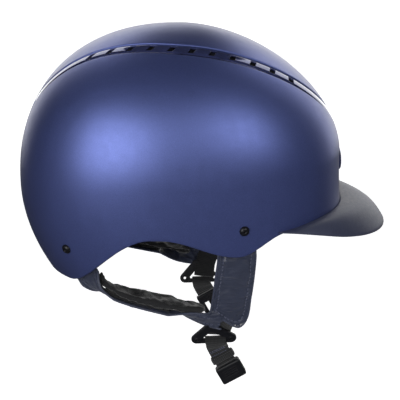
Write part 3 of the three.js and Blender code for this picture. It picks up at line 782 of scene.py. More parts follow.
def make_shell():
    angles = np.linspace(-math.pi, math.pi, 360, endpoint=False)
    x, y = egg_crossing(EGG_OUTER, angles, GAP + 1.6)
    share = np.clip(np.hypot(x, y) / plan_radius(angles, 0.0), 0, 0.9995)
    sweep = np.arccos(share ** (by_direction(PROFILE_POWER, angles) / 2))
    outside = meridians(angles, 0.0, 0.9, 22, 46, sweep)
    inside = meridians(angles, WALL, 0.7, 10, 20)[:-1]
    rim = rim_height(angles)
    lip = [dome_point(angles, rim + lift, inset) for lift, inset in
           ((0.35, WALL - 0.12), (0.08, WALL - 0.5), (0.0, WALL - 1.0), (0.0, WALL / 2), (0.0, 1.0),
            (0.1, 0.42), (0.42, 0.1))]
    edge = []
    for grow, depth in (*ROUNDED_EDGE, (0.0, 1.7), (0.0, 2.6), (-0.6, 3.1)):
        x, y = egg_crossing(EGG_OUTER, angles, GAP + grow)
        edge.append(dome_over(x, y, depth))
    x, y = egg_crossing(EGG_OUTER, angles, GAP)
    floor = [dome_over(x * k, y * k, 3.2) for k in (0.97, 0.9, 0.75, 0.55, 0.3, 0.1, 0.0)]
    rows = np.stack([*inside[::-1], *lip, *outside, *edge, *floor])
    shell = weld(grid("shell_visual", rows, around=True))
    dark = len(inside) + len(lip) + len(outside) + 5
    dress(shell, SHELL_PAINT, "helmet", "shell", "outer_shell")
    shell.data.materials.append(CHANNEL)
    edge_level = coordinates(shell)
    limit = {tuple(np.round(p, 5)) for p in rows[dark:].reshape(-1, 3) * MM}
    for polygon in shell.data.polygons:
        if all(tuple(np.round(edge_level[v], 5)) in limit for v in polygon.vertices):
            polygon.material_index = 1
    return shell


def make_crown_panel():
    theta = circle(200)
    rows = []
    for k in np.sin(np.linspace(0, math.pi / 2, 40)):
        x, y = egg(EGG_INNER, theta, -GAP - 1.6)
        rows.append(dome_over(EGG_INNER[0] + (x - EGG_INNER[0]) * k, y * k, 0.0))
    for grow, depth in (*ROUNDED_EDGE, (0.0, 2.3), (3.0, 2.4)):
        x, y = egg(EGG_INNER, theta, -GAP - grow)
        rows.append(dome_over(x, y, depth))
    panel = grid("crown_panel_visual", np.stack(rows), around=True, flip=True)
    with editing(panel.data) as work:
        bmesh.ops.remove_doubles(work, verts=work.verts, dist=0.00002)
    return dress(panel, SHELL_PAINT, "helmet", "shell", "crown_panel")


# ---------------------------------------------------------------- vents
SLOT_PLACES = [-75 + 16.3 * i for i in range(11)]
SLOT_WIDTH, SLAT_WIDTH, SLOT_SLANT = 4.6, 11.7, 0.55
REAR_VENT = 0.17


def strip_points(theta, across, depth):
    """Points of the vent strip at outline angles and shares of its width, sunk by a depth."""
    near_x, near_y = egg(EGG_INNER, theta, GAP)
    far_x, far_y = egg(EGG_OUTER, theta, -GAP)
    return dome_over(near_x + (far_x - near_x) * across, near_y + (far_y - near_y) * across, depth)


def make_vent_trim():
    """The gloss strip of the right side, its slots cut where the columns fall on them."""
    middle, length = EGG_OUTER[:2]
    marks = []
    for place in SLOT_PLACES:
        marks += [(place + offset, True) for offset in (-SLOT_WIDTH / 2, 0)]
        marks += [(place + SLOT_WIDTH / 2 + SLAT_WIDTH * k / 8, False) for k in range(8)]
    marks.append((SLOT_PLACES[-1] + SLOT_WIDTH / 2 + SLAT_WIDTH, False))
    slot_theta = [math.acos((x - middle) / length) for x, _ in marks]
    before = np.linspace(math.pi - REAR_VENT, slot_theta[0], 24, endpoint=False)
    after = np.linspace(slot_theta[-1], 0.004, 45)[1:]
    theta = -np.concatenate([before, slot_theta, after])
    hollow = [False] * len(before) + [open_here for _, open_here in marks] + [False] * len(after)
    across = np.array([0, 0.03, 0.09, 0.19, 0.3, 0.42, 0.58, 0.7, 0.81, 0.91, 0.97, 1.0])
    wide = np.hypot(*(np.array(egg(EGG_OUTER, theta, 0)) - np.array(egg(EGG_INNER, theta, 0))))
    shown = np.clip((theta + math.pi - REAR_VENT) * 5, 0, 1) * np.clip(-theta * 1.6, 0, 1)
    rows = []
    for w in across:
        shift = SLOT_SLANT * (0.5 - w) * wide / (length * np.maximum(np.abs(np.sin(theta)), 0.25)) * shown
        depth = 0.95 - 0.8 * (1 - abs(2 * w - 1) ** 4)
        rows.append(strip_points(np.clip(theta + shift, -math.pi + REAR_VENT, -0.004), w, depth))
    trim = grid("right_vent_trim_visual", np.stack(rows),
                keep=lambda row, column: not (hollow[column] and 3 <= row < 8), flip=True)
    solidify(trim, 1.1)
    bevel(trim, 0.25, 2)
    return bake(trim)


def make_vents():
    trim = make_vent_trim()
    theta = np.linspace(-math.pi + REAR_VENT, -0.004, 230)
    rows = np.stack([strip_points(theta, w, 1.95) for w in np.linspace(0, 1, 8)])
    net = grid("right_vent_mesh_visual", rows, flip=True)
    wire = net.modifiers.new("wire", "WIREFRAME")
    wire.thickness = 0.5 * MM
    bake(net)
    for side, sign in SIDES:
        for piece, finish, slot in ((trim, GLOSS, "gloss"), (net, PLASTIC, "plastic")):
            kind = piece.name.split("_", 1)[1]
            twin = piece if sign < 0 else mirror(piece, "left_" + kind)
            dress(twin, finish, "helmet", slot, f"{side}_{kind.replace('_visual', '')}")


def make_rear_grille():
    theta = np.linspace(math.pi - REAR_VENT + 0.006, math.pi + REAR_VENT - 0.006, 25)
    across = (0, 0.1, 0.22, 0.34, 0.44, 0.56, 0.66, 0.78, 0.9, 1)
    rows = np.stack([strip_points(theta, w, 1.3) for w in across])
    grille = grid("rear_vent_grille_visual", rows, flip=True,
                  keep=lambda row, column: not (row in (1, 2, 4, 6, 7) and column % 6 in (1, 2, 3, 4)))
    solidify(grille, 1.0)
    bevel(grille, 0.2, 2)
    dress(grille, PLASTIC, "helmet", "plastic", "rear_vent_grille")


# ---------------------------------------------------------------- badge and peak
BADGE_HEIGHT, BADGE_HALF_WIDTH, BADGE_HALF_HEIGHT = 30, 13.5, 11
PEAK_START, PEAK_REACH, PEAK_HALF_WIDTH, PEAK_LOW, PEAK_RISE = 70, 110, 98, -24, 20


def make_badge():
    """An oval dome inside a shallow channel and a raised border."""
    dome = [(0.0, 5.0), (0.2, 4.9), (0.4, 4.6), (0.6, 4.05), (0.74, 3.5)]
    channel = [(0.78, 3.2), (0.8, 3.0), (0.82, 3.25)]
    border = [(0.85, 3.5), (0.9, 3.35), (0.95, 2.6), (0.985, 1.4), (1.0, 0.2), (0.99, -0.6)]
    turn = circle(96)
    rows = []
    for radius, proud in dome + channel + border:
        y = BADGE_HALF_WIDTH * radius * np.cos(turn)
        z = BADGE_HEIGHT + BADGE_HALF_HEIGHT * radius * np.sin(turn)
        angle = np.zeros_like(y)
        for _ in range(8):
            angle = np.arcsin(np.clip(y / dome_radius(angle, z), -1, 1))
        rows.append(np.stack([dome_radius(angle, z) * np.cos(angle) + proud - 0.15, y, z], axis=-1))
    badge = weld(grid("front_badge_visual", np.stack(rows), around=True))
    return dress(badge, GLOSS, "helmet", "gloss", "front_badge")


def make_peak():
    """A thin moulding from a root on the shell to a rounded front edge, tapering away at both ends."""
    span = math.pi / 2 - 0.03
    forward, across = squircle(np.linspace(-span, span, 180), 2 / 1.72)
    edge = np.stack([PEAK_START + PEAK_REACH * forward, PEAK_HALF_WIDTH * across,
                     PEAK_LOW + PEAK_RISE * np.abs(across) ** 3], axis=-1)
    angle = np.arctan2(edge[:, 1], edge[:, 0])
    root = dome_point(angle, 1.2 - 5.4 * np.abs(across) ** 8, 0.05)
    thin = 0.6 + 2.4 * np.clip((1 - np.abs(across)) * 5, 0, 1) ** 0.6

    def top(share):
        point = root + (edge - root) * share
        point[:, 2] = root[:, 2] + (edge[:, 2] - root[:, 2]) * share ** 3.1
        return point

    def lowered(point, amount):
        moved = point.copy()
        moved[:, 2] -= amount
        return moved

    shares = np.sin(np.linspace(0, math.pi / 2, 36))
    upper = [top(min(s, 0.985)) for s in shares[:-1]]
    lip = [lowered(top(0.985 + 0.015 * math.sin(t)), thin * (0.42 - 0.42 * math.cos(t)))
           for t in np.linspace(0.2, math.pi - 0.2, 9)]
    under = [lowered(top(min(s, 0.985)), thin) for s in shares[:-1][::-1]]
    peak = grid("peak_visual", np.stack([*upper, *lip, *under]))
    weld(peak, 0.000005)
    return dress(peak, PEAK_GRAIN, "helmet", "peak", "peak")


# ---------------------------------------------------------------- liner and comfort pads
SCREWS = {"front": (67.6, 0.0), "rear": (141.3, -20.0)}


def make_liner():
    angles = np.linspace(-math.pi, math.pi, 288, endpoint=False)
    outside = meridians(angles, 5.2, 7.9, 30, 26)[:-1]
    for degrees, height in SCREWS.values():
        for sign in (-1, 1):
            centre = math.radians(degrees) * sign
            for row in outside:
                off = np.abs(np.degrees((angles - centre + math.pi) % (2 * math.pi) - math.pi))
                inside = np.clip((9.2 - off) / 1.2, 0, 1) * np.clip((height + 15 - row[:, 2]) / 3, 0, 1)
                pushed = dome_point(angles, row[:, 2], 13.2)
                row += (pushed - row) * inside[:, None]
    inside = meridians(angles, CAVITY, 9.4, 14, 30)[:-1]
    rim = rim_height(angles)
    inner_edge = dome_point(angles, rim + 7.0, CAVITY)
    channel = outside[0] - dome_point(angles, outside[0][:, 2], 5.2)
    outer_edge = dome_point(angles, rim + 7.0, 5.9) + channel
    across = [outer_edge + (inner_edge - outer_edge) * k for k in (0.0, 0.02, 0.15, 0.4, 0.7, 0.9, 0.96)]
    rows = np.stack([*outside[::-1], *across, *inside])
    liner = weld(grid("impact_liner_visual", rows, around=True))
    return dress(liner, FOAM, "helmet", "foam", "impact_liner")


def dome_run(start, end, low, high, depth, steps):
    """A strap-like run round the inside of the dome, its width up the meridian."""
    angles = np.radians(np.linspace(start, end, steps + 1))
    middle, half = (low + high) / 2, (high - low) / 2
    inset = tuple(c + depth for c in CAVITY)
    centre = dome_point(angles, np.full(angles.shape, middle), inset)
    wide = (dome_point(angles, np.full(angles.shape, middle + half * 0.7), inset)
            - dome_point(angles, np.full(angles.shape, middle - half * 0.7), inset))
    wide = unit(wide)
    out = unit(np.cross(np.gradient(centre, axis=0), wide))
    taper = np.sin(math.pi * (0.12 + 0.76 * np.linspace(0, 1, steps + 1))) ** 0.35
    return {"centre": centre, "wide": wide, "out": out, "half": half * taper,
            "length": distance_along(centre)}


def cross_lines(run, count):
    """Seam lines that cross a run at even spacing, in metres."""
    lines = []
    for k in range(1, count + 1):
        at = int(len(run["length"]) * k / (count + 1))
        reach = np.linspace(-0.92, 0.92, 9)[:, None] * run["half"][at]
        lines.append((run["centre"][at] + run["wide"][at] * reach) * MM)
    return lines


# Start and end directions in degrees, lower and upper edge heights, and the number of seams across.
BAND_PADS = {"brow_pad": (-52, 52, 4, 32, 7), "nape_pad": (146, 214, -34, 2, 4),
             "right_side_pad": (-122, -64, 14, 46, 4)}
PAD_DEPTH = 4.1


def make_band_pads():
    for name, (start, end, low, high, seams) in BAND_PADS.items():
        run = dome_run(start, end, low, high, PAD_DEPTH, 60)
        pad = ribbon(name + "_visual", run, 4.4, power=3.4, sides=40, round_start=7, round_end=7)
        edges = [edge_line(run, side, 0) for side in (-1, 1)]
        inflate(pad, 2.6, edges + cross_lines(run, seams), cap=2.0)
        groove(pad, cross_lines(run, seams), 1.1, 1.6)
        wrinkle(pad, (9, 9, 9), 0.5)
        dress(pad, KNIT, "helmet", "lining", name)
        if name == "right_side_pad":
            twin = mirror(pad, "left_side_pad_visual")
            dress(twin, KNIT, "helmet", "lining", "left_side_pad")


def make_crown_pad():
    turn = circle(72)
    rows = []
    for t in np.linspace(0, math.pi, 25):
        radius = abs(math.sin(t)) ** 0.55
        depth = CAVITY[3] + PAD_DEPTH + 2.2 * math.copysign(abs(math.cos(t)) ** 0.6, math.cos(t))
        x, y = 62 * radius * np.cos(turn), 34 * radius * np.sin(turn)
        plan = np.arctan2(y, x)
        share = np.hypot(x, y) / plan_radius(plan, tuple(c + PAD_DEPTH for c in CAVITY))
        power = by_direction(PROFILE_POWER, plan)
        low = by_direction(EQUATOR, plan)
        height = low + (CROWN_HEIGHT - depth - low) * (1 - share ** power) ** (1 / power)
        rows.append(np.stack([x, y, height], axis=-1))
    pad = weld(grid("crown_pad_visual", np.stack(rows), around=True))
    channels = []
    for x in (-32, 0, 32):
        line = np.stack([np.full(9, x), np.linspace(-26, 26, 9), np.full(9, 110.0)], axis=-1)
        channels.append(settle(pad, line * MM, 0.0))
    inflate(pad, 3.0, channels, cap=2.0)
    groove(pad, channels, 1.2, 2.0)
    wrinkle(pad, (10, 10, 10), 0.5)
    dress(pad, KNIT, "helmet", "lining", "crown_pad")


# ---------------------------------------------------------------- screws
def lathe(name, profile, origin, axis, sides=40, flats=None):
    """A turned solid about an axis from (radius, height) pairs in millimetres."""
    axis = unit(np.asarray(axis, float))
    one = unit(np.cross(axis, (0.1, 0.2, 0.97)))
    two = np.cross(axis, one)
    turn = circle(sides)
    rows = []
    for radius, height in profile:
        reach = np.full(sides, float(radius))
        if flats is not None and radius > flats:
            around = (turn + math.pi / 6) % (math.pi / 3) - math.pi / 6
            reach = np.minimum(reach, radius * 0.9 / np.cos(around))
        ring = one * (reach * np.cos(turn))[:, None] + two * (reach * np.sin(turn))[:, None]
        rows.append(np.asarray(origin) + axis * height + ring)
    return weld(grid(name, np.stack(rows), around=True), 0.000005)


def make_screws():
    inside = WALL + 6.4
    recess = [(0, 2.05), (1.1, 2.05), (1.15, 2.5)]
    head = [(1.3, 2.6), (2.0, 2.45), (2.8, 2.05), (3.4, 1.55), (3.8, 1.0), (4.0, 0.45), (4.0, 0.02)]
    shank = [(3.9, -0.05), (2.0, -0.05), (2.0, 0.3 - inside), (1.7, -inside), (0, -inside)]
    ring = [(2.3, 0.15), (2.45, 0), (4.45, 0), (4.6, 0.15), (4.6, 1.45), (4.45, 1.6), (2.45, 1.6),
            (2.3, 1.45), (2.3, 0.15)]
    for place, (degrees, height) in SCREWS.items():
        angle = -math.radians(degrees)
        origin = dome_point(angle, height)
        normal = dome_normal(angle, height)
        screw = lathe(f"right_{place}_screw_visual", recess + head + shank, origin, normal, 48)
        sunk = [(r, h + 0.4 - inside) for r, h in ring]
        nut = lathe(f"right_{place}_nut_visual", sunk, origin, normal, 48, 3.0)
        for part, finish, slot in ((screw, BLACK_METAL, "screw"), (nut, STEEL, "steel")):
            twin = mirror(part, part.name.replace("right_", "left_"))
            dress(part, finish, "helmet", slot, part.name.replace("_visual", ""))
            dress(twin, finish, "helmet", slot, twin.name.replace("_visual", ""))


# ---------------------------------------------------------------- harness
FRONT_RUN = [((38.5, -93.5, -23), (1, 0, 0)), ((37.5, -89, -42), (1, 0, -0.03)),
             ((36, -83.5, -62), (1, 0, -0.06)), ((34, -78.5, -79), (1, 0, -0.1))]
REAR_RUN = [((-76, -68.6, -48), (0.57, -0.64, 0.53)), ((-69, -72, -55), (0.25, -0.92, 0.3)),
            ((-58, -73, -60.5), (0.05, -0.99, 0.12)), ((-40, -74, -66.5), (0, -0.99, 0.08)),
            ((-15, -74, -73.5), (0, -0.99, 0)), ((15, -74.5, -79.5), (0, -0.96, 0.2))]
WEBBING_WIDTH, CHIN_WIDTH, WEBBING_THICKNESS = 19, 17, 1.5
LEATHER_SHIFT, LINING_SHIFT, SEAM_INSET = 2.25, -3.85, 4.2


def both_harness(piece, finish, slot, *nodes, bend=True, fill=None):
    """Dresses the right-hand piece and its mirrored twin; with bend set they ride on no body and their
    placement is baked into their meshes, else they ride on each side's harness body.
    """
    kind = piece.name.split("_", 1)[1]
    twin = mirror(piece, "left_" + kind)
    for (side, sign), obj in zip(SIDES, (piece, twin)):
        names = [f"{side}_{node}" for node in nodes]
        dress(obj, finish, None if bend else f"{side}_harness", slot, *names)
        if bend:
            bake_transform(obj)


def strap_run(stations, widths, steps):
    """The frames of a strap through (place, width direction) stations, with one width or one at each."""
    places, across = zip(*stations)
    return run_frames(places, across, np.broadcast_to(widths, len(stations)), steps)


def make_webbing():
    to_divider = [((29, -72.5, -92), (1, 0, -0.05)), ((27, -66.2, -103), (1, 0, 0))]
    below_shell = {"front": [((38.5, -93.5, -18.8), (1, 0, 0)), *FRONT_RUN, *to_divider],
                   "rear": [((-77, -68.5, -43.8), (0.6, -0.66, 0.35)), *REAR_RUN[:5]]}
    for place, rest in below_shell.items():
        degrees, height = SCREWS[place]
        angle = -math.radians(degrees)
        ahead = np.cross((0, 0, 1), dome_normal(angle, height))
        anchored = [(dome_point(angle, height + up, inset), ahead)
                    for up, inset in ((9, 6.8), (0, 6.8), (-8, 7.2))]
        run = strap_run(anchored + rest, WEBBING_WIDTH, 90)
        strap = ribbon(f"right_{place}_webbing_visual", run, WEBBING_THICKNESS)
        both_harness(strap, WEAVE, "webbing", f"{place}_anchor_strap", f"{place}_webbing")


# Where the ear opening's corner begins: its X on the rear strap and its Z on the front strap.
EAR_CORNER, EAR_CORNER_REACH = (6, -68), 13


def outline(run, inset, shift, corner=0.0):
    """The edge of a strap as one line down one side, round its end and up the other, in metres."""
    length = run["length"]
    near = np.clip(1 - (length[-1] - inset - length) / corner, 0, 1) if corner else np.zeros(len(length))
    half = (run["half"] - inset) * np.maximum(1 - near ** 3, 0) ** (1 / 3)
    keep = length <= length[-1] - inset
    middle = run["centre"] + run["out"] * shift
    down, up = [(middle + run["wide"] * (half * side)[:, None])[keep] for side in (-1, 1)]
    return np.vstack([down, middle[keep][-1], up[::-1]]) * MM


def ear_edge(front, rear):
    """The piping round the ear opening: down the front strap, round a corner, back along the rear strap."""
    down = edge_line(front, -1, LEATHER_SHIFT + 0.3) / MM
    back = edge_line(rear, 1, LEATHER_SHIFT - 0.3)[::-1] / MM
    down, back = down[down[:, 2] > EAR_CORNER[1]], back[back[:, 0] < EAR_CORNER[0]]
    one = EAR_CORNER_REACH * unit(down[-1] - down[-2])
    two = EAR_CORNER_REACH * unit(back[1] - back[0])
    t = np.linspace(0, 1, 16)[1:-1, None]
    corner = ((1 - t) ** 3 * down[-1] + 3 * (1 - t) ** 2 * t * (down[-1] + one)
              + 3 * (1 - t) * t ** 2 * (back[0] - two) + t ** 3 * back[0])
    return np.vstack([down, corner, back]) * MM


def leather_runs():
    front = strap_run([((38.6, -90.4, -15), (1, 0, 0)), *FRONT_RUN, ((30, -78.2, -85.3), (1, 0, 0.18))],
                      (29, 30, 31, 31, 32, 32), 90)
    turning_up = [((2, -75.2, -78.6), (0, -0.86, 0.5)), ((18, -77, -83), (0, -0.6, 0.8)),
                  ((29, -78.6, -84.6), (0, -0.3, 0.95))]
    rear = strap_run([((-80, -66, -42), (0.6, -0.6, 0.5)), *REAR_RUN[:5], *turning_up],
                     (25, 27, 27, 27, 27, 26, 23, 19, 17), 130)
    return front, rear


def make_gusset(edge):
    """The leather that fills the corner between the two straps, fanned out from inside the front one."""
    corner = edge[(edge[:, 2] < -60) & (edge[:, 0] > 2)]
    inner = np.array([25.0, -79.5, -82])
    fan = grid("corner_part", np.stack([corner + (inner - corner) * k for k in np.linspace(0.05, 0.85, 8)]))
    return bake(solidify(fan, 2.0))


def make_leather():
    """The padded leather Y of each side, with its stitching and its piping."""
    front, rear = leather_runs()
    pads = [ribbon("front_part", front, 2.6, LEATHER_SHIFT, 4.0, 40, round_end=9),
            ribbon("rear_part", rear, 2.0, LEATHER_SHIFT, 4.0, 40, round_end=5)]
    ear = ear_edge(front, rear)
    pads.append(make_gusset(ear / MM))
    pad = merge("right_leather_pad_visual", pads)
    front_edge = outline(front, 0.6, LEATHER_SHIFT, 9)
    rear_edges = [edge_line(rear, side * 0.97, LEATHER_SHIFT) for side in (-1, 1)]
    inflate(pad, 1.3, [front_edge, *rear_edges], cap=1.6, grow=-0.035, hold=1.3)
    front_seam = outline(front, SEAM_INSET, LEATHER_SHIFT + 1.3, 9)
    rear_seams = [(rear["centre"] + rear["wide"] * ((rear["half"] - SEAM_INSET) * side)[:, None]
                   + rear["out"] * (LEATHER_SHIFT + 1.0)) * MM for side in (-1, 1)]
    groove(pad, [front_seam, *rear_seams], 0.6, 1.1)
    wrinkle(pad, (16, 16, 3.6), 0.5)
    wrinkle(pad, (26, 26, 7), 0.6)
    seams = [front_seam[6:-6], *[seam[8:-8] for seam in rear_seams]]
    thread = merge("right_leather_stitching", [
        stitches("thread", settle(pad, seam, 0.12), radius=0.42) for seam in seams])
    piped = (front_edge[len(front_edge) // 2 - 14:], rear_edges[0], ear)
    cords = merge("right_leather_piping", [tube("cord", line, 0.9) for line in piped])
    both_harness(pad, LEATHER, "leather", "leather_pad", fill=0.4)
    both_harness(cords, PIPING, "leather")
    both_harness(thread, THREAD, "leather")


def make_linings():
    for place, stations, width, steps in (("front", FRONT_RUN, 28, 60), ("rear", REAR_RUN, 24, 90)):
        run = strap_run(stations, width, steps)
        name = f"right_{place}_lining_visual"
        pad = ribbon(name, run, 4.6, LINING_SHIFT, 3.2, 40, round_start=3, round_end=5)
        edges = [edge_line(run, side, LINING_SHIFT) for side in (-1, 1)]
        inflate(pad, 2.0, edges, cap=2.2, grow=-0.05)
        wrinkle(pad, (11, 11, 11), 1.7)
        wrinkle(pad, (5, 5, 5), 0.4)
        both_harness(pad, KNIT, "lining", f"{place}_lining", fill=0.6)


# ---------------------------------------------------------------- divider, chin strap and buckle
DIVIDER_CENTRE, DIVIDER_LEAN = (23, -68, -108), math.radians(18)
CHIN_LEAN, CHIN_SHIFT, CHIN_TAIL = math.radians(28), 1.4, 10
CHIN_LENGTHS = {"right": 20, "left": 12}


def frame_at(lean):
    """The divider's frame: X ahead, Y up its plate, Z towards the wearer's outside."""
    up = np.array([0, -math.sin(lean), math.cos(lean)])
    ahead = np.array([1.0, 0, 0])
    matrix = np.eye(4)
    matrix[:3] = np.stack([ahead, up, np.cross(ahead, up), DIVIDER_CENTRE], axis=1)
    return matrix


def chin_frame(length):
    turn = np.eye(4)
    turn[:2, :2] = [[math.cos(CHIN_LEAN), -math.sin(CHIN_LEAN)], [math.sin(CHIN_LEAN), math.cos(CHIN_LEAN)]]
    turn[:3, 3] = (CHIN_SHIFT + (length - 3) * math.tan(CHIN_LEAN), -length, 0.95)
    return frame_at(0) @ turn


def put(obj, matrix):
    points = coordinates(obj) / MM
    set_coordinates(obj, (points @ matrix[:3, :3].T + matrix[:3, 3]) * MM)
    return obj


def disc_hull(discs, count=40):
    """The outline round several discs (x, y, radius)."""
    points = sorted({(round(x + r * math.cos(t), 4), round(y + r * math.sin(t), 4))
                     for x, y, r in discs for t in circle(count)})
    hull = []
    for ordered in (points, points[::-1]):
        chain = []
        for p in ordered:
            while len(chain) > 1:
                (ax, ay), (bx, by) = chain[-2], chain[-1]
                if (bx - ax) * (p[1] - ay) - (by - ay) * (p[0] - ax) > 0:
                    break
                chain.pop()
            chain.append(p)
        hull += chain[:-1]
    return hull


def plate(name, outlines, thickness, rounding):
    """A flat moulding from outlines in millimetres, the inner ones being holes, with rounded edges."""
    curve = bpy.data.curves.new(name, "CURVE")
    curve.dimensions = "2D"
    curve.fill_mode = "BOTH"
    curve.extrude = (thickness / 2 - rounding) * MM
    curve.bevel_depth = rounding * MM
    curve.bevel_resolution = 3
    curve.offset = -rounding * MM
    for points in outlines:
        line = curve.splines.new("POLY")
        line.points.add(len(points) - 1)
        for spot, (x, y) in zip(line.points, points):
            spot.co = (x * MM, y * MM, 0, 1)
        line.use_cyclic_u = True
    obj = add_object(name + "_curve", curve)
    bpy.context.view_layer.update()
    mesh = bpy.data.meshes.new_from_object(obj.evaluated_get(bpy.context.evaluated_depsgraph_get()))
    bpy.data.objects.remove(obj)
    solid = weld(add_object(name, mesh), 0.00001)
    solid.data.shade_flat()
    with editing(solid.data) as work:
        for face in work.faces:
            face.smooth = abs(face.normal.z) < 0.98
    return solid


def rounded(width, height, radius, x=0.0, y=0.0):
    return disc_hull([(x + sx * (width / 2 - radius), y + sy * (height / 2 - radius), radius)
                      for sx in (-1, 1) for sy in (-1, 1)], 24)


def make_dividers():
    """The triangular strap divider, with a window for the chin strap and a riveted ear at each side."""
    ears = [(-14.25, 2.9), (14.25, 2.9)]
    body = disc_hull([*[(*ear, 4.6) for ear in ears], (-3, 16, 4.2)])
    window = disc_hull([(-8.2, 3.5, 1.1), (8.2, 3.5, 1.1), (-2.8, 9.6, 1.1)])
    holes = [disc_hull([(*ear, 1.3)], 20) for ear in ears]
    ring = [(1.25, -1.6), (1.25, 1.6), (1.5, 1.85), (2.2, 1.85), (2.5, 1.5), (2.5, -1.5), (2.2, -1.85),
            (1.5, -1.85), (1.25, -1.6)]
    parts = [plate("plate", [body, window, *holes], 3.0, 0.7)]
    parts += [lathe("rivet", ring, (*ear, 0), (0, 0, 1), 28) for ear in ears]
    divider = put(merge("right_strap_divider_visual", parts), frame_at(DIVIDER_LEAN))
    both_harness(divider, PLASTIC, "plastic", "strap_divider", bend=False)


def chin_strap(name, length):
    """Webbing folded round the divider's lower bar, with its tail sewn down by three lines of thread."""
    path = [(-0.95, -CHIN_TAIL), (-1.7, -6.5), (-2.9, -3)]
    path += [(3.5 * math.cos(t), 3.5 * math.sin(t)) for t in np.linspace(math.pi, 0, 7)]
    path += [(2.9, -3), (1.7, -6.5), (0.95, -length)]
    stations = []
    for z, y in path:
        depth = -y
        sway = max(depth, 0) ** 2 / 12 if depth < 6 else depth - 3
        stations.append(((CHIN_SHIFT + sway * math.tan(CHIN_LEAN), y, z), (1, 0, 0)))
    run = strap_run(stations, CHIN_WIDTH, 110)
    strap = put(ribbon(name, run, WEBBING_THICKNESS), frame_at(0))
    lines = []
    for back in (1.5, 3.2, 4.9):
        sewn = run["length"][-1] - (length - CHIN_TAIL) - back
        at = int(np.argmin(abs(run["length"] - sewn)))
        reach = np.linspace(-6.8, 6.8, 12)[:, None]
        line = run["centre"][at] + run["wide"][at] * reach + run["out"][at] * 0.85
        lines.append((line @ frame_at(0)[:3, :3].T + frame_at(0)[:3, 3]) * MM)
    thread = merge(name.replace("webbing_visual", "stitching"),
                   [stitches("thread", line, 1.3, 1.55, 0.3) for line in lines])
    return strap, thread


def ring_band(name, width, depth, height, wall):
    """A flat elastic band round a rounded rectangle, width by depth outside, height along Y."""
    path = np.array(rounded(width - wall, depth - wall, 1.6))
    centre = path.mean(axis=0)
    thick, lift = squircle(circle(20), 0.4)
    thick, lift = thick * wall / 2, lift * height / 2
    ahead = np.roll(path, -1, 0) - np.roll(path, 1, 0)
    normal = unit(np.stack([ahead[:, 1], -ahead[:, 0]], axis=1))
    flat = path[:, None] + normal[:, None] * thick[None, :, None] - centre
    points = np.stack([flat[..., 0], np.broadcast_to(lift, flat.shape[:2]), flat[..., 1]], axis=-1)
    points = np.concatenate([points, points[:1]])
    uv = np.stack([np.repeat(distance_along(points[:, 0])[:, None], 20, 1), points[..., 1]], axis=-1) * MM
    return weld(grid(name, points, around=True, uv=uv), 0.00001)


def block(name, size, centre, rounding=0.0, segments=4):
    half = np.array(size) / 2
    corners = [np.array(centre) + half * (x, y, z) for x in (-1, 1) for y in (-1, 1) for z in (-1, 1)]
    faces = [[0, 1, 3, 2], [4, 6, 7, 5], [0, 4, 5, 1], [2, 3, 7, 6], [0, 2, 6, 4], [1, 5, 7, 3]]
    obj = add_mesh(name, np.array(corners) * MM, faces)
    if rounding:
        bake(bevel(obj, rounding, segments))
    return obj


def carve(obj, tools):
    for tool in tools:
        cut = obj.modifiers.new("cut", "BOOLEAN")
        cut.object = tool
        cut.operation = "DIFFERENCE"
        cut.solver = "EXACT"
        bake(obj)
        bpy.data.objects.remove(tool)
    return obj


def make_chin_straps():
    strap, thread = chin_strap("right_chin_webbing_visual", CHIN_LENGTHS["right"])
    dress(strap, WEAVE, "right_chin_strap", "webbing", "right_chin_webbing")
    dress(thread, THREAD, "right_chin_strap", "webbing")
    strap, thread = chin_strap("left_chin_webbing_visual", CHIN_LENGTHS["left"])
    twin = mirror(strap, "left_chin_webbing_sewn")
    twin_thread = mirror(thread, "left_chin_thread")
    for made in (strap, thread):
        bpy.data.objects.remove(made)
    dress(twin, WEAVE, "left_chin_strap", "webbing", "left_chin_webbing")
    dress(twin_thread, THREAD, "left_chin_strap", "webbing")


def make_socket():
    """The keeper and the buckle's socket at the end of the right chin strap."""
    frame_here = chin_frame(CHIN_LENGTHS["right"])
    keeper = put(ring_band("right_strap_keeper_visual", 20.4, 7.4, 5, 1.3), frame_here)
    set_coordinates(keeper, coordinates(keeper) + (frame_here[:3, :3] @ np.array([0, 6, -0.95])) * MM)
    dress(keeper, WEAVE, "right_chin_strap", "webbing", "right_strap_keeper")

    socket = block("buckle_socket_visual", (22, 16, 8.6), (0, -8.5, 0), 1.9, 5)
    tools = [block("mouth", (18.8, 16, 5.4), (0, -10.9, 0), 0.8, 2),
             block("sides", (44, 7, 5.0), (0, -7, 0), 1.4, 4)]
    tools += [block("grip", (13, 0.7, 2), (0, -4.6 - 2.0 * k, z), 0.25, 2)
              for z in (4.9, -4.9) for k in range(4)]
    carve(socket, tools)
    bevel(socket, 0.3, 2, 50)
    bake(socket)
    dress(put(socket, frame_here), PLASTIC, "right_chin_strap", "plastic", "buckle_socket")


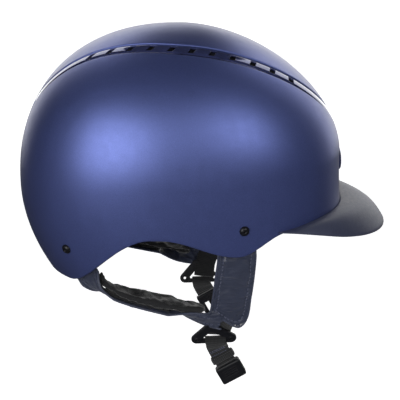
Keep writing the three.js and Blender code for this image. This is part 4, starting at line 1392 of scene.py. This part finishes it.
def make_plug():
    """The buckle's plug at the end of the left chin strap, with its two sprung prongs."""
    frame_here = chin_frame(CHIN_LENGTHS["left"])
    notches = [block("notch", (14, 0.7, 2), (0, -3.2 - 1.7 * k, z), 0.25, 2)
               for k in range(3) for z in (3.4, -3.4)]
    base = carve(block("plug_base", (22, 9, 5.6), (0, -5, 0), 1.5, 4), notches)
    tongue = plate("tongue", [rounded(4.6, 14.2, 1.6, 0, -16.1)], 2.6, 0.6)
    plug = merge("buckle_plug_visual", [bake(bevel(base, 0.2, 2, 50)), tongue])
    left = mirror(put(plug, frame_here), "buckle_plug_moulding")
    bpy.data.objects.remove(plug)
    dress(left, PLASTIC, "left_chin_strap", "plastic", "buckle_plug")
    for side, name in ((1, "front"), (-1, "rear")):
        outer, top = 10 * side, -9.9
        inner = outer - 3.4 * side
        tip = [(outer + (0.9 - 2.5 * t * t + 0.1 * t) * side, top - 7 - 7 * t) for t in np.linspace(0, 1, 9)]
        points = [(inner, top), (outer, top), (outer - 0.6 * side, top - 6.3), *tip, (inner, top - 14)]
        prong = plate("prong", [points if side < 0 else points[::-1]], 4.0, 0.6)
        twin = mirror(put(prong, frame_here), f"buckle_{name}_prong_visual")
        bpy.data.objects.remove(prong)
        dress(twin, PLASTIC, f"{name}_prong", "plastic", f"buckle_{name}_prong")


# ---------------------------------------------------------------- build
make_shell()
make_crown_panel()
make_vents()
make_rear_grille()
make_badge()
make_peak()
make_liner()
make_band_pads()
make_crown_pad()
make_screws()
make_webbing()
make_leather()
make_linings()
make_dividers()
make_chin_straps()
make_socket()
make_plug()


# ---------------------------------------------------------------- floor and light
def sheet(name, points, finish, hidden_from, around=False, flip=False):
    """A sheet of the studio, left out of the kinds of ray named."""
    obj = grid(name, points, around=around, flip=flip)
    obj.data.materials.append(finish.material)
    for kind in hidden_from:
        setattr(obj, "visible_" + kind, False)
    return obj


def make_stage():
    """A floor that curves up behind, a card that only gloss reflects, and a far wall all round."""
    pale = Finish("floor", (0.8, 0.8, 0.8), 0.9, Emission_Color=(1, 1, 1, 1), Emission_Strength=0.8)
    pale.set_colour(pale.tint(pale.noise(400), 0.99, 1.01))
    bend = np.linspace(0, math.pi / 2, 24)
    line = [(-3000, -170), *zip(2200 + 800 * np.sin(bend), 630 - 800 * np.cos(bend)), (3000, 3000)]
    points = np.array([[(x, y, z) for x in (-3000, 3000)] for y, z in line])
    floor = sheet("floor", points, pale, ["glossy"], flip=True)

    glow = Finish("card", (0.9, 0.9, 0.9), 0.9, Emission_Color=(1, 1, 1, 1), Emission_Strength=1.0)
    turn = np.linspace(113, 222, 41)
    rise = np.radians(np.linspace(-8, 27 + 39 * np.abs((turn - 113) / 54.5 - 1), 16))
    turn = np.broadcast_to(np.radians(turn), rise.shape)
    level = np.cos(rise)
    points = 1600 * np.stack([np.sin(turn) * level, -np.cos(turn) * level, np.sin(rise)], axis=-1)
    card = sheet("reflector_card", points, glow, ["camera", "diffuse", "shadow"])

    turn, rise = np.meshgrid(circle(64), np.linspace(0, 1, 12))
    reach = 2800 + 700 * rise
    points = np.stack([reach * np.sin(turn), -reach * np.cos(turn), 3300 * rise ** 2 - 171], axis=-1)
    wall = sheet("backdrop", points, pale, ["glossy", "diffuse", "shadow"], around=True)


def add_light(name, direction, size, watts):
    """A softbox in a direction from the shell's middle."""
    data = bpy.data.lights.new(name, "AREA")
    data.shape = "RECTANGLE"
    data.size, data.size_y = size
    data.energy = watts
    obj = add_object(name, data)
    way = Vector(direction).normalized()
    obj.location = Vector((0, 0, 0.03)) + way * 1.6
    obj.rotation_euler = way.to_track_quat("Z", "Y").to_euler()


make_stage()
add_light("left_softbox", (-0.53, -0.76, 0.29), (1.2, 1.1), 15.5)
add_light("right_softbox", (0.46, -0.76, 0.46), (0.8, 0.8), 6.5)
world = bpy.data.worlds.new("studio")
world.use_nodes = True
world.node_tree.nodes["Background"].inputs["Color"].default_value = (0.8, 0.85, 1.0, 1)
world.node_tree.nodes["Background"].inputs["Strength"].default_value = 0.05
bpy.context.scene.world = world
bpy.context.scene.view_settings.view_transform = "Standard"
